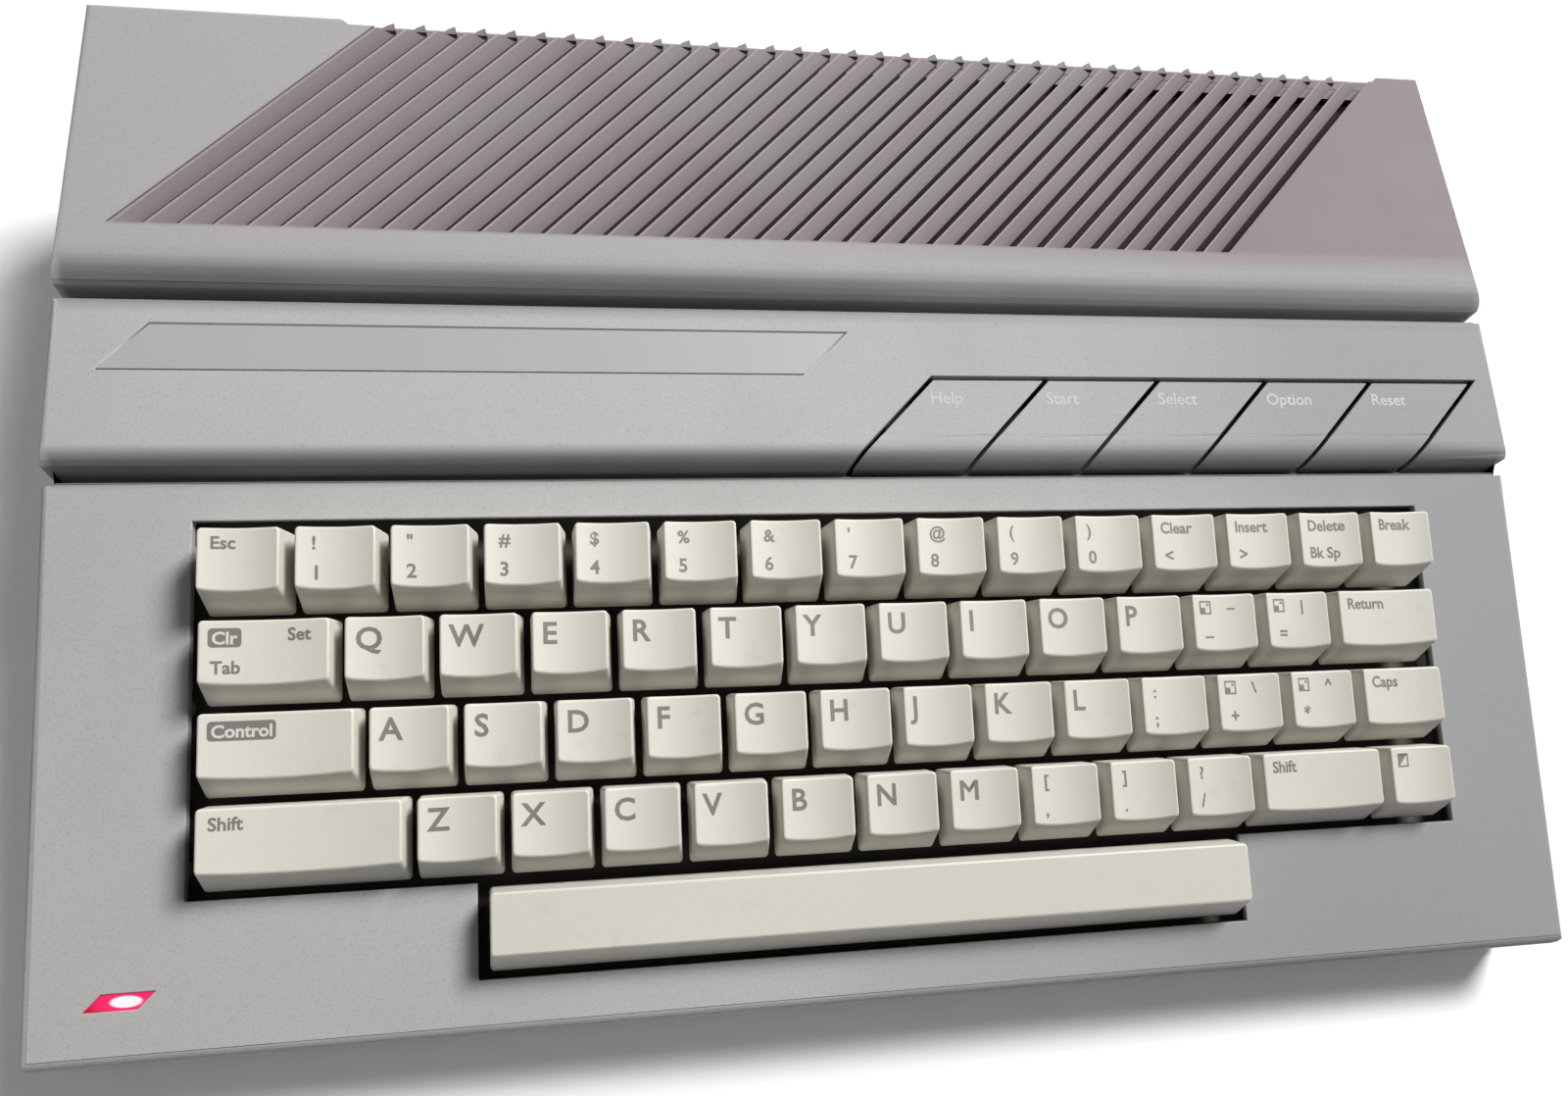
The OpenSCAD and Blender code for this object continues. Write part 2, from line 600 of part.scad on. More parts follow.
// A key cap on the deck, width w at its foot, with its stems at the places xs
module cap_shape(w, row, inset) {
    v0 = row_v(row) + (key_pitch - key_foot) / 2 + inset;
    v1 = v0 + key_foot - 2 * inset;
    n1 = row_top[row] - inset - (inset > 0 ? hollow(row) : 0);
    tv0 = v1 - top_back - top_depth + inset;
    side = (key_foot - key_top) / 2;
    sag = inset > 0 ? 0 : hollow(row);
    half = w / 2 - inset;
    intersection() {
        translate([-half, 0, 0]) rotate([90, 0, 90]) linear_extrude(2 * half)
            polygon([[v0, skirt_n - inset], [v1, skirt_n - inset], [v1 - top_back, n1],
                [tv0 + rim_d, n1], [tv0, n1 - rim_fall], [tv0 - rim_d / 2, n1 - rim_face]]);
        translate([0, v1 + 1, 0]) rotate([90, 0, 0]) linear_extrude(key_foot + 3)
            polygon(concat([[-half, skirt_n - 2 * inset], [half, skirt_n - 2 * inset], [half - side, n1 - edge_fall]],
                [for (i = [4:-1:-4]) let (t = i / 4) [t * (half - side - edge_fall), n1 - sag * (1 - t * t)]],
                [[side - half, n1 - edge_fall]]));
    }
}
module key_body(w, row, xs) {
    difference() {
        cap_shape(w, row, 0);
        cap_shape(w, row, cap_wall);
    }
    for (x = xs) translate([x - stem / 2, stem_v(row) - stem / 2, stem_n])
        cube([stem, stem, row_top[row] - hollow(row) - cap_wall / 2 - stem_n]);
}
module key(k) {
    w = k[3] * key_pitch - (key_pitch - key_foot);
    color([0.88, 0.87, 0.84]) on_deck() for (i = [0:k[4] - 1])
        translate([key_mid(k, i), 0, 0]) key_body(w, k[1], stem_xs(k));
}

// A console button: it carries the band's nose on across the gap
module console_button(i) {
    shell = 1.6;
    x0 = console_x + i * console_pitch + side_gap;
    x1 = x0 + console_pitch - 2 * side_gap;
    y0 = y_band + gap;
    y1 = console_back - console_gap / 2;
    skirt = console_travel + 1.7;
    color([0.67, 0.67, 0.68]) {
        difference() {
            intersection() {
                linear_extrude(2 * top_z) slanted(x0, x1, y0, y1);
                across() polygon(concat([[y_band, groove_1_z]],
                    arc(band_crown, band_foot_z, band_nose, band_z(band_crown) - band_foot_z, 180, 90, 8),
                    [[y_rear, band_z(y_rear)], [y_rear, deck_z(y_rear) - skirt], [y_band, deck_z(y_band) - skirt]]));
            }
            intersection() {
                linear_extrude(2 * top_z) slanted(x0 + 2 * shell, x1 - 2 * shell, y0 + shell, y1 - shell);
                across() polygon([[y_band, 0], [y_band, band_foot_z - shell / 2], [band_crown, band_z(band_crown) - shell],
                    [y_rear, band_z(y_rear) - shell], [y_rear, 0]]);
            }
        }
        on_deck() translate([console_mid[i] - stem / 2, console_v - stem / 2, stem_n])
            cube([stem, stem, band_z(y_band + console_d / 2) - deck_z(y_band + console_d / 2) - shell / 2 - stem_n]);
    }
}

module main_board() {
    color([0.15, 0.4, 0.2]) difference() {
        translate([-board_x, board_y0, board_z]) cube([2 * board_x, board_y1 - board_y0, board_t]);
        for (p = screw_posts) translate([p[0], p[1], 0]) cylinder(r = post_r + 4, h = top_z, $fn = flats);
        for (p = board_posts) translate([p[0], p[1], 0]) cylinder(r = 1.2, h = top_z, $fn = flats);
    }
}
// The shield over the board, and the chips under it: [x, row, length, width], rows from its middle
shield_x = board_x - 16;
shield_y0 = board_y0 + 14;
shield_y1 = board_y1 - 29;
shield_mid = (shield_y0 + shield_y1) / 2;
chip_row = 12;
CHIPS = concat(
    [for (row = [-1, 1]) each [[50 - shield_x, row, 52, 14], [120 - shield_x, row, 52, 14], [shield_x - 95, row, 36, 14]]],
    [for (row = [-1, 0, 1]) each [[shield_x - 50, row, 20, 8], [shield_x - 22, row, 20, 8]]]);
chip_h = 4;
module board_chips() {
    color([0.1, 0.1, 0.1]) for (c = CHIPS)
        translate([c[0] - c[2] / 2, shield_mid + c[1] * chip_row - c[3] / 2, board_top]) cube([c[2], c[3], chip_h]);
}
module top_shield() {
    x = shield_x;
    y0 = shield_y0;
    y1 = shield_y1;
    h = 11;
    color([0.75, 0.75, 0.76]) difference() {
        translate([-x, y0, board_top]) cube([2 * x, y1 - y0, h]);
        translate([-x + shield_t, y0 + shield_t, 0])
            cube([2 * (x - shield_t), y1 - y0 - 2 * shield_t, board_top + h - shield_t]);
        for (i = [-8:8]) translate([i * 14 - 2, y0 + 12, 0]) cube([4, y1 - y0 - 24, top_z]);
    }
}
module rf_modulator() {
    w = 22;
    d = 18;
    h = port_z + 7 - board_top;
    color([0.78, 0.78, 0.8]) {
        translate([jack_x - 6, board_y1 - d, board_top]) cube([w, d, h]);
        translate([jack_x, board_y1 - eps, port_z]) rotate([-90, 0, 0]) difference() {
            cylinder(r = jack_r, h = half_d - 0.4 - board_y1, $fn = 48);
            translate([0, 0, 1]) cylinder(r = jack_r - 1.2, h = 9, $fn = 48);
        }
    }
}
slot_d = 12;
module cartridge_connector() {
    w = 72;
    h = 14;
    d = 16;
    color([0.12, 0.12, 0.13]) difference() {
        translate([slot_mid_x - w / 2, board_y1 - d, board_top]) cube([w, d, h]);
        translate([slot_mid_x - w / 2 + 4, board_y1 - slot_d, port_z - 2.4]) cube([w - 8, slot_d + 1, 4.8]);
    }
}
module socket_block(x, w, h, d) {
    translate([x - w / 2, face_y - d, board_top]) cube([w, d, port_z + h / 2 - board_top]);
}
module rear_sockets() {
    color([0.1, 0.1, 0.11]) difference() {
        union() {
            for (x = [power_x, monitor_x]) socket_block(x, 17.4, 16, 14);
            socket_block(serial_x, 41, 13, 14);
        }
        for (x = [power_x, monitor_x]) translate([x, face_y - 8, port_z]) rotate([-90, 0, 0])
            cylinder(r = din_r, h = 9, $fn = 48);
        translate([serial_x - 17, face_y - 8, port_z - 3.5]) cube([34, 9, 7]);
    }
}
module controller_ports() {
    d = 11;
    color([0.12, 0.12, 0.13]) for (y = side_ports) difference() {
        union() {
            translate([side_face - d, y - side_port_w / 2, floor_z])
                cube([d - wall - 0.2, side_port_w, side_port_z + side_port_h / 2 - floor_z]);
            translate([side_face - d, y - side_port_w / 2, side_port_z - side_port_h / 2])
                cube([d, side_port_w, side_port_h]);
        }
        translate([side_face - 6, y - 9, side_port_z - 4]) cube([9, 18, 8]);
    }
}
rocker_w = 12.6;
body_back = 14;
module switch_bodies() {
    color([0.1, 0.1, 0.1]) {
        translate([switch_x - 7, hinge_y - body_back, board_top]) cube([14, body_back - 4.4, port_z + 8 - board_top]);
        translate([channel_x - 6, face_y - 14, board_top]) cube([12, 10, port_z + 3 - board_top]);
    }
}
module power_switch() {
    reach = 5;
    color([0.1, 0.1, 0.1]) translate([switch_x - rocker_w / 2, hinge_y, port_z]) rotate([rocker_tilt, 0, 0])
        rotate([90, 0, 90]) linear_extrude(rocker_w)
            polygon([[-3, -5], [reach, -7.5], [reach - 1.4, 0], [reach, 7.5], [-3, 5]]);
}
slide_travel = 3;
module channel_switch() {
    color([0.1, 0.1, 0.1]) translate([channel_x - slide_travel / 2 - 1.5, face_y - 4 + gap, port_z - 2])
        cube([3, 4 - gap, 4]);
}
module case_screws() {
    length = 16;
    color([0.6, 0.6, 0.6]) for (p = screw_posts) translate([p[0], p[1], feet_h + head_depth]) {
        translate([0, 0, -2]) cylinder(r = 2 * screw_r, h = 2, $fn = flats);
        translate([0, 0, -eps]) cylinder(r = screw_r, h = length, $fn = flats);
    }
}
module rubber_feet() {
    color([0.12, 0.12, 0.12]) for (p = feet) translate([p[0], p[1], 0]) cylinder(r = feet_r, h = feet_h);
}

upper_case();
lower_case();
badge_plate();
led_lens();
power_led();
keyboard_frame();
dome_sheet();
keyboard_membrane();
keyboard_backplate();
main_board();
board_chips();
top_shield();
rf_modulator();
cartridge_connector();
rear_sockets();
controller_ports();
switch_bodies();
case_screws();
rubber_feet();
power_switch();
channel_switch();
for (i = [0:len(CONSOLE) - 1]) console_button(i);
for (k = KEYS) key(k);
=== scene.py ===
"""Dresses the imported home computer: case finish, key caps, legends, sockets, lamps and camera."""

import math

import bmesh
import bpy
from mathutils import Matrix, Vector


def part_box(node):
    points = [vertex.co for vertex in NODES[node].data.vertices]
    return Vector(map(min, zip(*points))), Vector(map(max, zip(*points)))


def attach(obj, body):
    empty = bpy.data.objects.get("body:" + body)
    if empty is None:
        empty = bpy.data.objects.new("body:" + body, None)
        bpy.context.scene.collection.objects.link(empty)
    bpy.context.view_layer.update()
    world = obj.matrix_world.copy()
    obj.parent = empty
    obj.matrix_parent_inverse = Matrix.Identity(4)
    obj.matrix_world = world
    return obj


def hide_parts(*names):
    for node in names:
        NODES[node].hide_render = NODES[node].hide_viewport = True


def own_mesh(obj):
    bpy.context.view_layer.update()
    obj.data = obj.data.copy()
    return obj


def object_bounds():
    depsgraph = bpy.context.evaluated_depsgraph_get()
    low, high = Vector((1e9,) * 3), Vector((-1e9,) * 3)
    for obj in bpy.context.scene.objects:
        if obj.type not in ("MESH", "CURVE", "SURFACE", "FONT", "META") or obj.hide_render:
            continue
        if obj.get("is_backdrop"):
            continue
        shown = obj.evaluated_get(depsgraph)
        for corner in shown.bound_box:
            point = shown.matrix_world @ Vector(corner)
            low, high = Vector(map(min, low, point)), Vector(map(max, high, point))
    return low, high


bl_info = {
    "name": "Home computer dresser",
    "version": (1, 0, 0),
    "blender": (4, 5, 0),
    "location": "View3D > Sidebar > Computer",
    "description": "Builds the visible skin of a wedge-shaped home computer round its CAD frame",
    "category": "Object",
}

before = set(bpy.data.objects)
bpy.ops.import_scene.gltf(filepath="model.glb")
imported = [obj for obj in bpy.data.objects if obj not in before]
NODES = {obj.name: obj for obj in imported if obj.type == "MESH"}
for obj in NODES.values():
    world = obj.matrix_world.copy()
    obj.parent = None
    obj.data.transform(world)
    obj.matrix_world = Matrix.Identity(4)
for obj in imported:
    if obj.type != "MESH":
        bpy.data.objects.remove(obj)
CAD_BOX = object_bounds()
MM = 0.001

# The case's half width and the place of its back
CAD_SIDE = 175.0 * MM
CAD_BACK = 117.0 * MM

# The key deck: x across, v up the slope from the front edge, n out of the surface
DECK_SLOPE = math.radians(12.0)
DECK_FRONT_Y = -117.0 * MM
DECK_FRONT_Z = 22.0 * MM
DECK = Matrix.Translation((0.0, DECK_FRONT_Y, DECK_FRONT_Z)) @ Matrix.Rotation(DECK_SLOPE, 4, "X")

# The key rows, in the deck's frame, from the space bar up
KEY_PITCH = 19.05 * MM
ROWS_LEFT = -141.7 * MM
FIRST_ROW_V = 31.8 * MM
SPACE_SET_BACK = 1.0 * MM
ROW_TOP = [8.0 * MM, 8.2 * MM, 8.0 * MM, 8.6 * MM, 10.5 * MM]

# The louvre field's left front corner, and how far it shifts right per step back
LOUVRES_X = -163.3 * MM
LOUVRES_Y = 56.5 * MM
SLAT_LEAN = math.tan(math.radians(43.4))
LOUVRES_EDGE = LOUVRES_X - LOUVRES_Y * SLAT_LEAN
SLAT_PITCH = 7.2 * MM
SLATS = 37.0
ROOF_SLOPE = math.atan(0.034)
ROOF_LEAST_Z = 40.0 * MM
FIN_REACH = 4.5 * MM

# The dark sheet under the louvres that stands in for the shade inside the vents, from their front edge
SHADE_SHEET_HALF_WIDTH = 166.0 * MM
SHADE_SHEET_FRONT = -6.0 * MM
SHADE_SHEET_BACK = 54.5 * MM
SHADE_SHEET_THICKNESS = 0.5 * MM
SHADE_SHEET_Z = 52.0 * MM

# The band with the badge and the console buttons
BAND_FOOT_Y = 1.0 * MM
BAND_SLOPE = math.radians(7.0)
BAND_FOOT_Z = 50.98 * MM
CONSOLE_PITCH = 29.2 * MM
CONSOLE_DEPTH = 21.2 * MM
CONSOLE_SLANT = 21.0 * MM
CONSOLE_WORDS = ("Help", "Start", "Select", "Option", "Reset")
CONSOLE_PRINT = 4.3 * MM
CONSOLE_PRINT_IN = 5.4 * MM
CONSOLE_PRINT_DOWN = 6.5 * MM

# Where the rounded noses of the band and the rear block begin, and how far the shade there reaches
BAND_NOSE, BAND_SHADE = 1.5 * MM, 4.0 * MM
REAR_NOSE, REAR_SHADE = 42.5 * MM, 7.0 * MM

# How far print lies above its surface, and the pale words above the dark plates
PRINT_LIFT = 0.03 * MM
WORDS_LIFT = 0.06 * MM

# Mesh work: vertices this near are one, faces this even are one, and edges beyond this angle are sharp
WELD = 0.002 * MM
EVEN = math.radians(0.5)
SHARP = math.radians(38.0)


# ---------------------------------------------------------------- sizes and colours a user may change


class CaseFinish(bpy.types.PropertyGroup):
    """Finish of the two case shells."""

    shell: bpy.props.FloatVectorProperty(
        name="Shell", description="Grey of the moulded case", subtype="COLOR", size=3, default=(0.45, 0.447, 0.445)
    )
    # Painted shade: the darker, warmer grey painted over the back right and over the louvres
    painted_shade: bpy.props.FloatVectorProperty(
        name="Painted shade", description="Tint of the shell towards the back", subtype="COLOR", size=3,
        default=(0.22, 0.187, 0.199)
    )
    grain: bpy.props.FloatProperty(
        name="Grain", description="Distance between the pits of the moulded texture", default=0.55 * MM,
        subtype="DISTANCE", unit="LENGTH"
    )
    edge_round: bpy.props.FloatProperty(
        name="Edge round", description="Rounding of the case's small edges", default=0.25 * MM,
        subtype="DISTANCE", unit="LENGTH"
    )


class KeyFinish(bpy.types.PropertyGroup):
    """Sizes and colours of the key caps."""

    cap: bpy.props.FloatVectorProperty(
        name="Cap", description="Ivory of the key caps", subtype="COLOR", size=3, default=(0.65, 0.63, 0.57)
    )
    print_colour: bpy.props.FloatVectorProperty(
        name="Print", description="Grey of the legends", subtype="COLOR", size=3, default=(0.17, 0.165, 0.155)
    )
    corner: bpy.props.FloatProperty(
        name="Corner", description="Radius of the caps' upright corners", default=0.9 * MM,
        subtype="DISTANCE", unit="LENGTH"
    )
    rim: bpy.props.FloatProperty(
        name="Rim", description="Rounding of the edge of the key tops", default=0.55 * MM,
        subtype="DISTANCE", unit="LENGTH"
    )
    hollow: bpy.props.FloatProperty(
        name="Hollow", description="Depth of the hollow in the key tops", default=1.3 * MM,
        subtype="DISTANCE", unit="LENGTH"
    )


class StageSetup(bpy.types.PropertyGroup):
    """Camera and floor."""

    focal: bpy.props.FloatProperty(name="Focal length", description="Lens of the camera, in mm", default=25.853)
    floor_size: bpy.props.FloatProperty(
        name="Floor", description="Width of the floor", default=8.0, subtype="DISTANCE", unit="LENGTH"
    )


# ---------------------------------------------------------------- shader expressions


class Wire:
    """A socket of a node tree. Arithmetic on wires adds Math nodes."""

    def __init__(self, paint, socket):
        self.paint = paint
        self.socket = socket

    def _math(self, operation, *values):
        return self.paint.node("ShaderNodeMath", {"operation": operation}, dict(enumerate(values)))

    def __add__(self, other):
        return self._math("ADD", self, other)

    def __radd__(self, other):
        return self._math("ADD", other, self)

    def __sub__(self, other):
        return self._math("SUBTRACT", self, other)

    def __rsub__(self, other):
        return self._math("SUBTRACT", other, self)

    def __mul__(self, other):
        return self._math("MULTIPLY", self, other)

    def __rmul__(self, other):
        return self._math("MULTIPLY", other, self)

    def __truediv__(self, other):
        return self._math("DIVIDE", self, other)

    def __lt__(self, other):
        return self._math("LESS_THAN", self, other)

    def absolute(self):
        return self._math("ABSOLUTE", self)

    def fraction(self):
        return self._math("FRACT", self)

    def smooth(self, low, high):
        """0 below low, 1 above high, and a soft rise between them."""
        reach = {"Value": self, "From Min": low, "From Max": high}
        return self.paint.node("ShaderNodeMapRange", {"interpolation_type": "SMOOTHSTEP"}, reach)


def add_node(tree, kind, inputs, **settings):
    """Adds a node, applies its settings first, then its inputs: values, or sockets to link."""
    made = tree.nodes.new(kind)
    for key, value in settings.items():
        setattr(made, key, value)
    for key, value in inputs.items():
        if isinstance(value, bpy.types.NodeSocket):
            tree.links.new(value, made.inputs[key])
        else:
            made.inputs[key].default_value = value
    return made


# The colour sockets of a Mix node
COLOUR_A, COLOUR_B, COLOUR_OUT = 6, 7, 2


class Paint:
    """A material under construction: one Principled shader and what feeds it."""

    def __init__(self, name, **constants):
        self.material = bpy.data.materials.new(name)
        self.material.use_nodes = True
        self.tree = self.material.node_tree
        self.shader = self.tree.nodes["Principled BSDF"]
        for socket, value in constants.items():
            self.shader.inputs[socket.replace("_", " ")].default_value = value
        self.place = self.node("ShaderNodeTexCoord", {}, {}, "Object")

    def node(self, kind, settings, inputs, output=0):
        """Adds a node, whose inputs may be wires, and returns one output as a wire."""
        sockets = {key: value.socket if isinstance(value, Wire) else value for key, value in inputs.items()}
        return Wire(self, add_node(self.tree, kind, sockets, **settings).outputs[output])

    def noise(self, size, detail=2.0, roughness=0.5):
        """Cloudy noise whose blotches are about size metres across."""
        shape = {"Scale": 1.0 / size, "Detail": detail, "Roughness": roughness}
        return self.node("ShaderNodeTexNoise", {}, {"Vector": self.place, **shape})

    def rolled(self, stretch, scale):
        """Fine lines along X: noise on coordinates that are stretched that way."""
        place = self.node("ShaderNodeMapping", {}, {"Vector": self.place, "Scale": (stretch, 1.0, 1.0)})
        return self.node("ShaderNodeTexNoise", {}, {"Vector": place, "Scale": scale, "Detail": 2.0})

    def axis(self, letter):
        """The object coordinate along X, Y or Z."""
        return self.node("ShaderNodeSeparateXYZ", {}, {"Vector": self.place}, letter)

    def mix(self, factor, low, high):
        """A colour between low and high."""
        low, high = (c if isinstance(c, Wire) else (*c, 1.0) for c in (low, high))
        settings = {"data_type": "RGBA"}
        return self.node("ShaderNodeMix", settings, {"Factor": factor, COLOUR_A: low, COLOUR_B: high}, COLOUR_OUT)

    def feed(self, **sockets):
        """Links wires to the shader's sockets."""
        for name, wire in sockets.items():
            self.tree.links.new(wire.socket, self.shader.inputs[name.replace("_", " ")])

    def bump(self, height, distance, strength=1.0):
        """Raises the surface by a wire."""
        relief = {"Height": height, "Distance": distance, "Strength": strength}
        self.feed(Normal=self.node("ShaderNodeBump", {}, relief))


def shade(colour, amount):
    """A colour made lighter or darker."""
    return tuple(c * amount for c in colour)


def key_plastic(cap):
    """Ivory plastic of the keys, with painted shade that makes them a little darker to the right, and a fine pitted
    texture.
    """
    paint = Paint("key_plastic")
    cloud = paint.noise(60 * MM, 3.0)
    pits = paint.noise(0.4 * MM, 2.0, 0.6)
    wear = paint.noise(7 * MM, 4.0, 0.6)
    # Painted shade: the caps a little darker towards the right, as the light falls off that way
    base = paint.mix(paint.axis("X").smooth(-0.15, 0.15), shade(cap, 1.06), shade(cap, 0.90))
    base = paint.mix(cloud.smooth(0.3, 0.7) * 0.3, base, shade(cap, 0.88))
    base = paint.mix(wear.smooth(0.58, 0.75) * 0.25, base, (cap[0] * 0.72, cap[1] * 0.70, cap[2] * 0.64))
    base = paint.mix(pits.smooth(0.55, 0.75) * 0.10, base, shade(cap, 0.55))
    paint.feed(Base_Color=base, Roughness=0.5 + (cloud - 0.5) * 0.12)
    paint.bump(pits, 0.03 * MM)
    return paint.material


def case_plastic(finish):
    """Case plastic: neutral at the front, with painted shade that makes a warmer, darker grey over the rear block's
    right and its louvres.
    """
    paint = Paint("case_plastic", Specular_IOR_Level=0.15)
    shell, painted_shade = tuple(finish.shell), tuple(finish.painted_shade)
    x, y, z = paint.axis("X"), paint.axis("Y"), paint.axis("Z")
    cloud = paint.noise(70 * MM, 3.0)
    pits = paint.noise(finish.grain, 2.0, 0.62)
    # Where each painted shade lies: on the roof, over the slats, and towards the right behind and in front
    inward = CAD_SIDE - 1.2 * MM
    topside = z.smooth(ROOF_LEAST_Z, 50.0 * MM) * (y < CAD_BACK - 0.4 * MM)
    topside = topside * (1.0 - x.absolute().smooth(inward, inward + 0.8 * MM))
    slats = (x - y * SLAT_LEAN - LOUVRES_EDGE) / SLAT_PITCH
    over_louvres = y.smooth(LOUVRES_Y - 1.0 * MM, LOUVRES_Y + 1.0 * MM) * slats.smooth(-0.1, 0.1) * topside
    # Masks for a painted highlight along each slat's crest and painted shade on its falling side
    crest = (1.0 - slats.fraction().smooth(0.05, 0.11)) * (slats < SLATS)
    flank = slats.fraction().smooth(0.25, 0.68) * (slats < SLATS)
    waver = (cloud - 0.5) * 0.05
    # Masks for painted shade, where the case grows darker towards the right behind and in front
    toward_right = (x + y * 0.3 + waver).smooth(-0.03, 0.15) * y.smooth(0.050, 0.056)
    front_right = (x + y.absolute() * 0.3 + waver).smooth(-0.01, 0.16)
    # Mask for painted shade at the feet of the band's and the rear block's noses
    foot = near_stripe(y, BAND_NOSE, BAND_SHADE) + near_stripe(y, REAR_NOSE, REAR_SHADE)
    foot = foot * z.smooth(36.0 * MM, 42.0 * MM) * (1.0 - x.absolute().smooth(171.0 * MM, 173.5 * MM))
    # Painted shade: the rear block a little darker than the deck and the band
    base = paint.mix(y.smooth(0.040, 0.046), shell, shade(shell, 0.82))
    # Painted shade: the front darker and cooler towards the right
    base = paint.mix(front_right, base, (0.29, 0.298, 0.31))
    # Painted shade: the roof darker and warmer towards the right behind, and over the slats
    base = paint.mix(toward_right * topside, base, shade(painted_shade, 1.2))
    base = paint.mix(over_louvres, base, painted_shade)
    # Painted shade on each slat's falling side, and a painted highlight along its crest
    base = paint.mix(over_louvres * flank * 0.4, base, shade(painted_shade, 0.45))
    base = paint.mix(over_louvres * crest, base, shade(painted_shade, 1.55))
    # Painted shade at the noses' feet, a little lighter towards the right
    base = paint.mix(foot * (0.75 - x.smooth(-0.02, 0.1) * 0.3), base, shade(shell, 0.2))
    base = paint.mix(cloud.smooth(0.42, 0.62) * 0.2, base, shade(shell, 0.72))
    base = paint.mix(pits.smooth(0.50, 0.72) * 0.26, base, shade(shell, 0.45))
    paint.feed(Base_Color=base, Roughness=0.66 + (pits - 0.5) * 0.2)
    paint.bump(pits, 0.05 * MM, 0.7)
    return paint.material


def near_stripe(wire, centre, reach):
    """1 where a coordinate is at centre, falling to 0 at a distance reach."""
    return 1.0 - (wire - centre).absolute().smooth(0.3 * reach, reach)


def plain_moulding(name, colour, roughness, depth=0.02 * MM, **constants):
    """Small mouldings with a light grain."""
    paint = Paint(name, **constants)
    pits = paint.noise(0.6 * MM, 2.0)
    cloud = paint.noise(9 * MM, 2.0)
    paint.feed(
        Base_Color=paint.mix(cloud * 0.4, colour, tuple(min(1.0, c * 1.6 + 0.01) for c in colour)),
        Roughness=roughness + (pits - 0.5) * 0.15,
    )
    paint.bump(pits, depth)
    return paint.material


def sheet_metal(name, colour, roughness=0.32):
    """Tinned steel with faint rolling lines along X."""
    paint = Paint(name, Metallic=1.0)
    lines = paint.rolled(0.05, 2500.0)
    paint.feed(
        Base_Color=paint.mix(lines * 0.5, colour, shade(colour, 0.75)),
        Roughness=roughness + (lines - 0.5) * 0.2,
    )
    return paint.material


def lit_lens():
    """Red lens with a white-hot spot where the lamp stands under it."""
    paint = Paint("red_lens", Roughness=0.25, Emission_Strength=1.0, Base_Color=(0.12, 0.0, 0.004, 1.0))
    x, y = paint.axis("X"), paint.axis("Y")
    low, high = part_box("led_lens")
    centre = (low + high) / 2
    dx = (x - centre.x - 1.4 * MM) / (3.4 * MM)
    dy = (y - centre.y) / (1.25 * MM)
    near = 1.0 - (dx * dx + dy * dy)
    hot = near.smooth(0.0, 0.45)
    glow = paint.mix(near.smooth(-5.0, 0.5), (0.42, 0.003, 0.015), (0.98, 0.02, 0.16))
    paint.feed(Emission_Color=paint.mix(hot, glow, (1.0, 0.93, 0.97)))
    return paint.material


# ---------------------------------------------------------------- mesh helpers


def settle(name, bm, material, body, smooth=True, flat_print=False):
    """Makes a bmesh in the frame's coordinates a piece that rides on a body. Flat print faces up."""
    mesh = bpy.data.meshes.new(name)
    bm.normal_update()
    if flat_print:
        bmesh.ops.reverse_faces(bm, faces=[f for f in bm.faces if f.normal.z < 0.0])
    else:
        bmesh.ops.recalc_face_normals(bm, faces=bm.faces)
    for face in bm.faces:
        face.smooth = smooth
    bm.to_mesh(mesh)
    bm.free()
    mesh.materials.append(material)
    piece = bpy.data.objects.new(name, mesh)
    bpy.context.scene.collection.objects.link(piece)
    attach(piece, body)
    return piece


def everything(bm):
    """All the vertices, edges and faces of a bmesh."""
    return bm.verts[:] + bm.edges[:] + bm.faces[:]


def moulding(node):
    """The welded mesh of a CAD node, in flat faces, with its sharp edges marked."""
    bm = bmesh.new()
    bm.from_mesh(NODES[node].data)
    bmesh.ops.remove_doubles(bm, verts=bm.verts, dist=WELD)
    bmesh.ops.dissolve_limit(bm, angle_limit=EVEN, use_dissolve_boundaries=False, verts=bm.verts, edges=bm.edges)
    for edge in bm.edges:
        edge.smooth = edge.calc_face_angle(0.0) < SHARP
    return bm


def bevel(bm, geom, width, segments, affect="EDGES"):
    """Rounds edges or corners and returns the new faces."""
    made = bmesh.ops.bevel(
        bm, geom=geom, offset=width, offset_type="OFFSET", segments=segments, profile=0.5, affect=affect, material=-1
    )
    return made["faces"]


def soften(bm, keep, width):
    """Rounds the sharp edges for which keep(edge) is true."""
    sharp = [e for e in bm.edges if not e.smooth and e.calc_length() > 3.0 * width and keep(e)]
    for face in bevel(bm, sharp, width, 2):
        for edge in face.edges:
            edge.smooth = True


def part_ends(bm, reach):
    """Parts the light of the upper facets from the rounded edges that end on them."""
    for face in bm.faces:
        if len(face.verts) > 4 and face.normal.z > 0.3:
            for edge in face.edges:
                if edge.calc_length() < reach:
                    edge.smooth = False


def in_louvres(edge):
    """Whether an edge belongs to the field of slats."""
    slack = 0.6 * MM
    return all(
        v.co.z > ROOF_LEAST_Z and v.co.y > LOUVRES_Y - slack and v.co.x - v.co.y * SLAT_LEAN > LOUVRES_EDGE - slack
        for v in edge.verts
    )


def crest_facets(bm, width, end_y):
    """Keeps the slats flat, with a narrow bright facet along each crest."""
    crests = [
        e for e in bm.edges if in_louvres(e) and not e.smooth and e.calc_length() > 20.0 * MM
        and e.is_convex and all(v.co.y < end_y for v in e.verts)
    ]
    bevel(bm, crests, width, 1)
    for edge in bm.edges:
        if in_louvres(edge) and edge.calc_face_angle(0.0) > math.radians(2.0):
            edge.smooth = False


